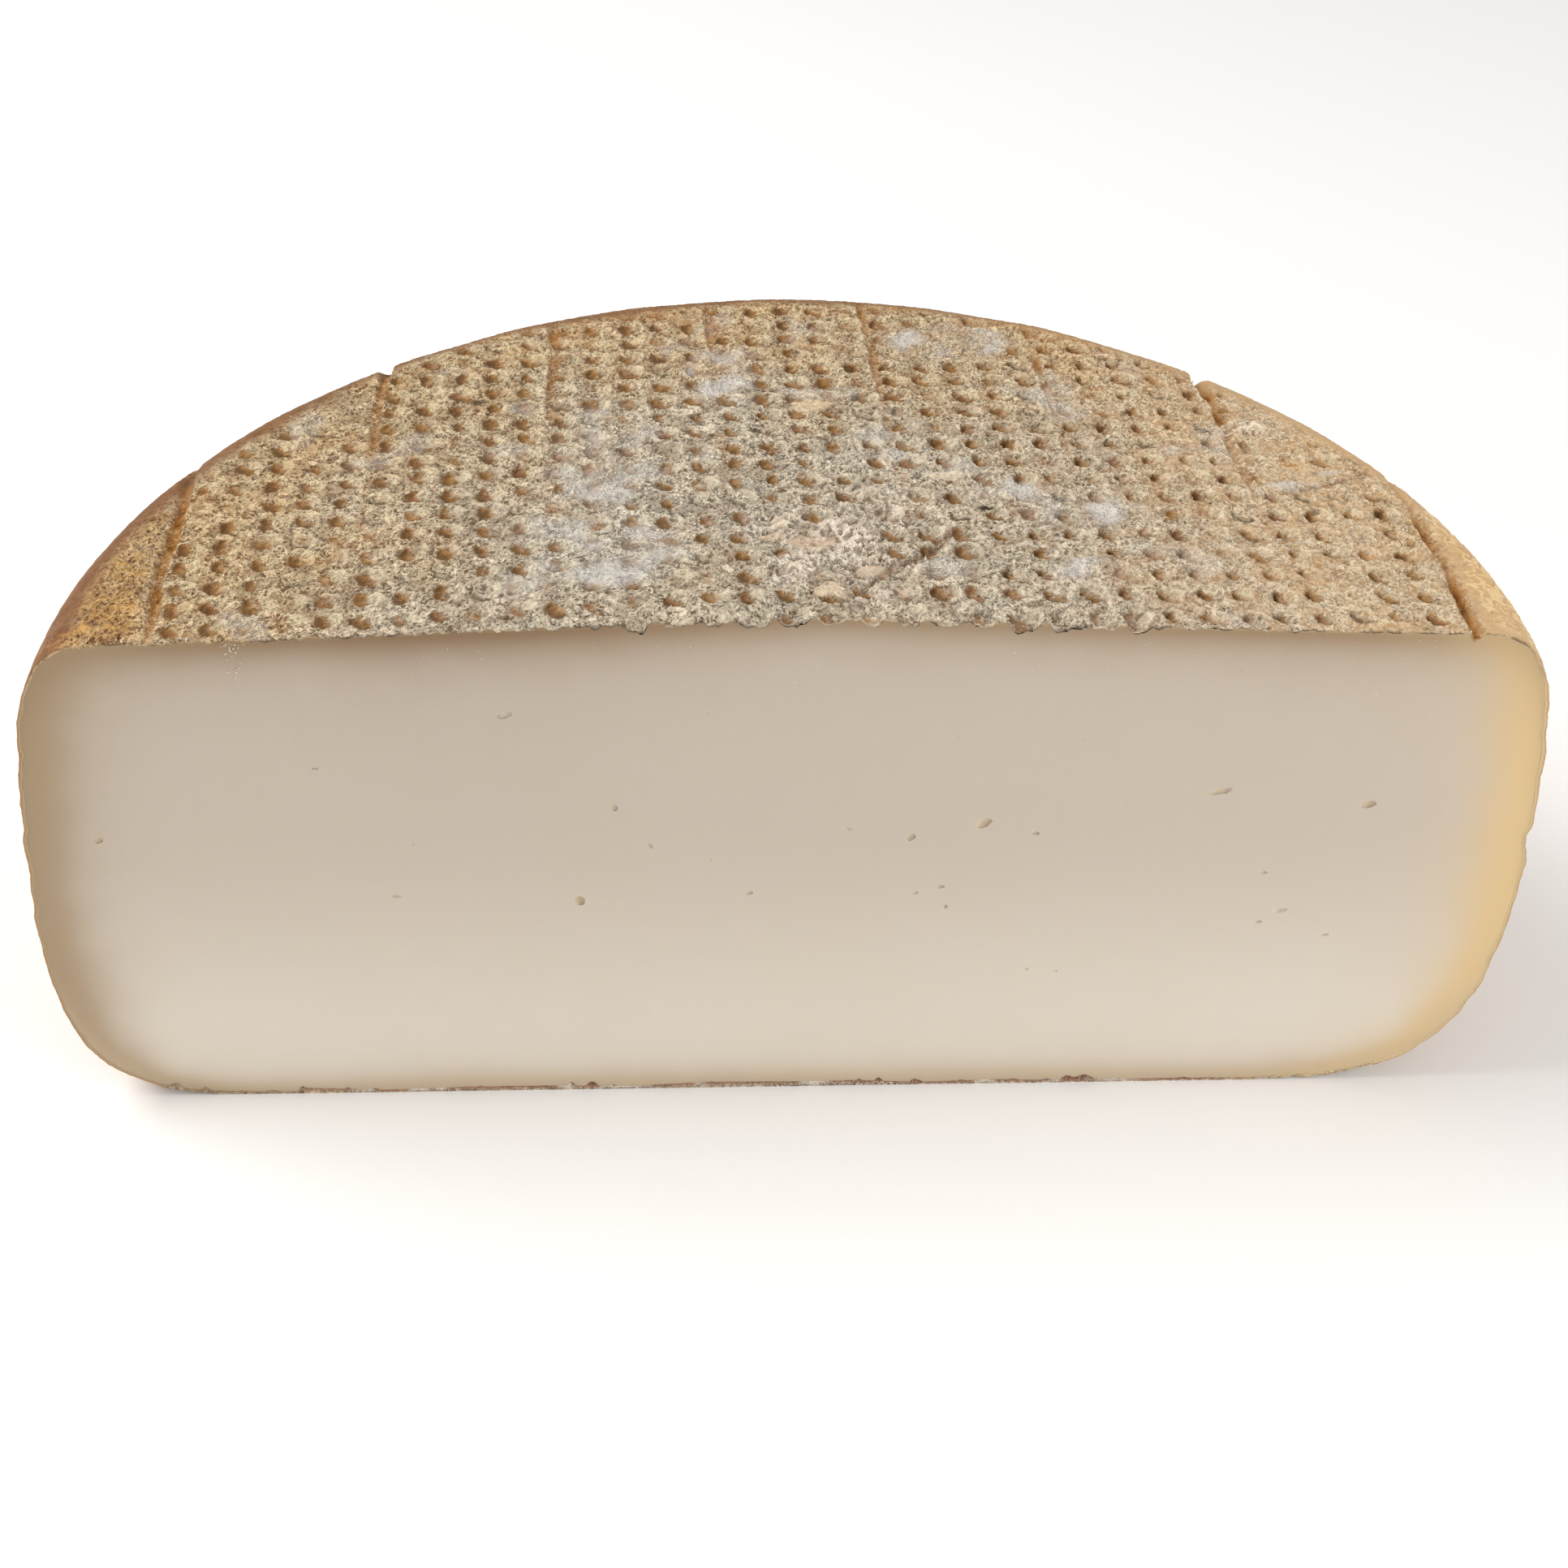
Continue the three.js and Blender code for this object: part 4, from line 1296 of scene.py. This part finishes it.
class CHEESE_OT_paste(bpy.types.Operator):
    """Build the cut face of the paste, with its gas holes, set into the rind"""

    bl_idname = "cheese.paste"
    bl_label = "Cut paste"

    def execute(self, context):
        cut = Cut(Surface())
        mesh = finish_mesh(paste_disc(), "paste")
        set_points(mesh, to_frame(self.places(cut, get_points(mesh))))
        piece = new_object("paste", mesh, paste_material())
        mesh = cut_away(piece, eye_cutter())
        set_masks(mesh, self.masks(cut, context.scene.paste_look, from_frame(get_points(mesh))))
        mesh.shade_smooth()
        mesh.set_sharp_from_angle(angle=CUT_SHARP_ANGLE)
        return {"FINISHED"}

    def places(self, cut, disc):
        """Where the points of the disc belong: on the slightly uneven face or on the back."""
        cos, sin, level = disc.T
        turn = np.arctan2(sin, cos) / math.pi
        signed_run = cut.surface.whole_run * np.where(turn < 0, -1 - turn, 1 - turn)
        back = level > 0.5
        plane = cut.rings(-signed_run, np.maximum(np.rint(-level), 0))
        x, z = plane.T
        points = np.stack([x, np.zeros(len(x)), z], 1)
        *_, away = cut.distances(x, z)
        waves = 0.05 * lumps(points, 30.0, 70.0) + 0.02 * lumps(points * (1, 1, 0.2), 4.0, 71.0)
        from_core = np.hypot(np.maximum(np.abs(x) - CORE_REACH, 0), z - cut.core_height)
        front = FACE_DEPTH + waves * smooth(4.0, 20.0, from_core) + 0.3 * (1 - smooth(0.0, 0.8, away))
        points[:, 1] = np.where(back, PASTE_DEPTH, front)
        middle = np.array([0.0, 0.0, 0.5 * cut.surface.crown_height])
        return np.where(back[:, None], middle + (points - middle) * BACK_SHARE, points)

    def masks(self, cut, look, points):
        """The bands under the rind, the holes and the other values that the colours follow."""
        x, y, z = points.T
        over_base, under_top, from_side, away = cut.distances(x, z)
        uneven = 1 + 0.14 * lumps(points, 26.0, 81.0) + 0.08 * lumps(points, 7.0, 82.0)
        fade = lambda distance, reach, power: 1 / (1 + (distance * MM / (reach * uneven)) ** power)
        dusk = np.exp(-(((x - DUSK_X) / DUSK_WIDTH) ** 2))
        top = fade(under_top / (1 + 0.35 * dusk), look.top_reach, 2.0)
        side = fade(from_side, look.side_reach, 3.5)
        base = fade(over_base, look.base_reach, 3.0)
        total = np.maximum(top + side + base, 1e-6)
        return {
            "band": 1 - (1 - top) * (1 - side) * (1 - base),
            "right": (x > 0).astype(float),
            "upward": top / total,
            "dusk": dusk,
            "downward": base / total,
            "edge": 1 - smooth(0.2, 1.2, away),
            "height": np.clip(z / cut.surface.crown_height, 0, 1),
            "hole": smooth(0.15, 0.6, y) * (y < PASTE_DEPTH - 0.2) * (away > 2),
        }


CRUMB_SEED = 23
GRAINS_RUN = 127.0  # the grains' furthest run from the middle of the top
CUT_SHARE = 0.05  # share of the grains that lie along the cut
CUT_RUN = 124.0  # the furthest run of those
SPECKS_X = (-100.0, 120.0)
SPECKS_TOP, SPECKS_DROP = 109.5, 30.0  # height of the highest speck, and how far down they reach
SMEAR_X, SMEAR_TOP = -96.6, 111.0  # a smear of specks below the top at the left
SMEAR_PART = 6  # one speck in so many is in the smear


def many_lumps(name, doublings):
    """A mesh of many copies of one small lump, made by doubling it."""
    bm = bmesh.new()
    bmesh.ops.create_icosphere(bm, subdivisions=1, radius=1)
    for _ in range(doublings):
        bmesh.ops.duplicate(bm, geom=bm.verts[:] + bm.edges[:] + bm.faces[:])
    return finish_mesh(bm, name)


def random_turns(rng, count):
    """Rotation matrices for even random directions."""
    quaternions = rng.normal(size=(count, 4))
    w, x, y, z = (quaternions / np.linalg.norm(quaternions, axis=1)[:, None]).T
    return np.stack([
        1 - 2 * (y * y + z * z), 2 * (x * y - z * w), 2 * (x * z + y * w),
        2 * (x * y + z * w), 1 - 2 * (x * x + z * z), 2 * (y * z - x * w),
        2 * (x * z - y * w), 2 * (y * z + x * w), 1 - 2 * (x * x + y * y),
    ], 1).reshape(-1, 3, 3)


def place_grains(mesh, rng, centres, sizes, flatness):
    """Gives each lump its own shape, turn and place."""
    count = len(centres)
    points = get_points(mesh).reshape(count, -1, 3)
    lumpy = 1 + 0.35 * (rng.random(points.shape[:2]) - 0.5)
    shape = np.stack([rng.uniform(0.7, 1.5, count), rng.uniform(0.6, 1.0, count), flatness], 1)
    points = points * lumpy[..., None] * shape[:, None, :]
    points = np.einsum("nij,nkj->nki", random_turns(rng, count), points)
    points = points * sizes[:, None, None] / 2 + centres[:, None, :]
    set_points(mesh, to_frame(points.reshape(-1, 3)))


class CHEESE_OT_crumbs(bpy.types.Operator):
    """Scatter dry grains over the rind, and paste crumbs and specks along the cut"""

    bl_idname = "cheese.crumbs"
    bl_label = "Crumbs"

    def execute(self, context):
        look = context.scene.crumb_look
        rng = np.random.default_rng(CRUMB_SEED)
        self.scatter_grains(look, rng)
        self.scatter_specks(look, rng)
        return {"FINISHED"}

    def scatter_grains(self, look, rng):
        """Dry grains all over the top, and some more of them along the cut."""
        mesh = many_lumps("rind_grains", look.grains)
        count = 2**look.grains
        angle = math.pi * rng.random(count)
        run = GRAINS_RUN * np.sqrt(rng.random(count))
        near_cut = rng.random(count) < CUT_SHARE
        angle = np.where(near_cut, np.where(angle > math.pi / 2, math.pi, 0.0), angle)
        run = np.where(near_cut, CUT_RUN * rng.random(count), run)
        skin, outward, masks = Surface().skin(angle, run)
        skin[:, 1] = skin[:, 1] + near_cut * rng.uniform(-0.15, 1.2, count)
        sizes = look.grain_size / MM * (0.6 + 0.9 * rng.random(count) ** 2)
        for name, share in (("border", 0.5), ("pit", 0.8), ("bloom", 0.5)):
            sizes = sizes * (1 - share * masks[name])
        centres = skin + outward * (0.12 * sizes)[:, None]
        place_grains(mesh, rng, centres, sizes, rng.uniform(0.3, 0.6, count))
        material = crumb_material("dry rind grains", look.pale_grain, look.deep_grain)
        new_object("rind_grains", mesh, material)

    def scatter_specks(self, look, rng):
        """Crumbs of paste on the cut, thicker towards its top, and one smear of them."""
        mesh = many_lumps("cut_specks", look.specks)
        count = 2**look.specks
        x = rng.uniform(*SPECKS_X, count)
        height = SPECKS_TOP - SPECKS_DROP * rng.random(count) ** 1.6
        smear = np.arange(count) < count // SMEAR_PART
        x = np.where(smear, rng.normal(SMEAR_X, 0.9, count), x)
        height = np.where(smear, SMEAR_TOP - rng.exponential(2.2, count), height)
        centres = np.stack([x, np.full(count, 0.02), np.maximum(height, 5.0)], 1)
        sizes = np.where(smear, rng.uniform(0.15, 0.4, count), rng.uniform(0.1, 0.28, count))
        place_grains(mesh, rng, centres, sizes, rng.uniform(0.4, 0.8, count))
        material = crumb_material("paste crumbs", look.pale_speck, look.deep_speck)
        new_object("cut_specks", mesh, material)


STUDIO_MIDDLE = (0.0, 60.0, 60.0)
# Lights: name, which is also their power's setting, then size and way from the middle in metres,
# and the colour of their light.
LIGHTS = (
    ("key", 0.7, (-0.75, 0.15, 0.95), (1.0, 0.98, 0.95)),
    ("fill", 0.8, (0.9, -0.62, 0.36), (1.0, 0.98, 0.96)),
)
SKY_COLOUR = (1.0, 0.99, 0.98)
CAMERA_PLACE = (-13.9, -313.8, 334.0)
CAMERA_TILT, CAMERA_ROLL, CAMERA_TURN = (math.radians(degrees) for degrees in (50.92, 0.751, -2.17))
CAMERA_LENS = 51.44


class CHEESE_OT_studio(bpy.types.Operator):
    """Set up the pale floor, the soft lights and the camera"""

    bl_idname = "cheese.studio"
    bl_label = "Studio"

    def execute(self, context):
        scene = context.scene
        self.add_floor(scene)
        self.add_lights(scene)
        self.add_camera(scene)
        scene.view_settings.view_transform = "Standard"
        return {"FINISHED"}

    def add_floor(self, scene):
        """A wide pale floor under the wheel, with faint clouds in its colour."""
        look = scene.studio_look
        bm = bmesh.new()
        bmesh.ops.create_grid(bm, x_segments=2, y_segments=2, size=4)
        bmesh.ops.translate(bm, verts=bm.verts[:], vec=(0, 0, LOW.z))
        mesh = finish_mesh(bm, "floor")
        material, shader, surface = new_material("pale floor")
        soft = shader.spread(shader.cloud(0.4), 0.3, 0.7, 0.0, 0.06)
        shader.feed(surface, "Base Color", shader.blend(soft, look.floor, look.floor_shade))
        shader.feed(surface, "Roughness", 0.9)
        mesh.materials.append(material)
        floor = bpy.data.objects.new("floor", mesh)
        scene.collection.objects.link(floor)
        floor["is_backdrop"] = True

    def add_lights(self, scene):
        """A soft room all round and two wide lamps turned to the middle of the wheel."""
        look = scene.studio_look
        world = bpy.data.worlds.new("soft room")
        world.use_nodes = True
        background = world.node_tree.nodes["Background"]
        background.inputs["Color"].default_value = linear(SKY_COLOUR)
        background.inputs["Strength"].default_value = look.sky
        scene.world = world
        middle = Vector(to_frame(np.array(STUDIO_MIDDLE)))
        for name, size, offset, colour in LIGHTS:
            light = bpy.data.lights.new(name, "AREA")
            light.energy, light.size, light.color = getattr(look, name), size, colour
            lamp = bpy.data.objects.new(name, light)
            lamp.location = middle + Vector(offset)
            lamp.rotation_euler = (-Vector(offset)).to_track_quat("-Z", "Y").to_euler()
            scene.collection.objects.link(lamp)

    def add_camera(self, scene):
        """A camera above the cut, a little left of the middle."""
        camera = bpy.data.cameras.new("camera")
        camera.lens = CAMERA_LENS
        camera.sensor_width = 36.0
        camera.clip_start = 0.01
        stand = bpy.data.objects.new("camera", camera)
        tilt = Euler((CAMERA_TILT, 0, CAMERA_TURN)).to_matrix().to_4x4()
        roll = Matrix.Rotation(CAMERA_ROLL, 4, "Z")
        stand.matrix_world = Matrix.Translation(to_frame(np.array(CAMERA_PLACE))) @ tilt @ roll
        scene.collection.objects.link(stand)
        scene.camera = stand


class CHEESE_PT_panel(bpy.types.Panel):
    """Lists the sizes, the colours and the pieces"""

    bl_idname = "CHEESE_PT_panel"
    bl_label = "Cheese half wheel"
    bl_space_type = "VIEW_3D"
    bl_region_type = "UI"
    bl_category = "Cheese"

    def draw(self, context):
        for owner, kind, operator in PIECES:
            box = self.layout.box()
            settings = getattr(context.scene, owner)
            for key in kind.__annotations__:
                box.prop(settings, key)
            if operator is not None:
                box.operator(operator.bl_idname)


PIECES = (
    ("wheel_shape", WheelShape, None),
    ("rind_look", RindLook, CHEESE_OT_rind),
    ("paste_look", PasteLook, CHEESE_OT_paste),
    ("crumb_look", CrumbLook, CHEESE_OT_crumbs),
    ("studio_look", StudioLook, CHEESE_OT_studio),
)


def register():
    for owner, kind, operator in PIECES:
        bpy.utils.register_class(kind)
        setattr(bpy.types.Scene, owner, PointerProperty(type=kind))
        if operator is not None:
            bpy.utils.register_class(operator)
    bpy.utils.register_class(CHEESE_PT_panel)


def unregister():
    bpy.utils.unregister_class(CHEESE_PT_panel)
    for owner, kind, operator in reversed(PIECES):
        if operator is not None:
            bpy.utils.unregister_class(operator)
        delattr(bpy.types.Scene, owner)
        bpy.utils.unregister_class(kind)


def main():
    register()
    bpy.ops.cheese.rind()
    bpy.ops.cheese.paste()
    bpy.ops.cheese.crumbs()
    bpy.ops.cheese.studio()
    plain = lambda bounds: [list(corner) for corner in bounds]
    {"cad": plain(CAD_BOUNDS), "visual": plain(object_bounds())}


if __name__ == "__main__":
    main()
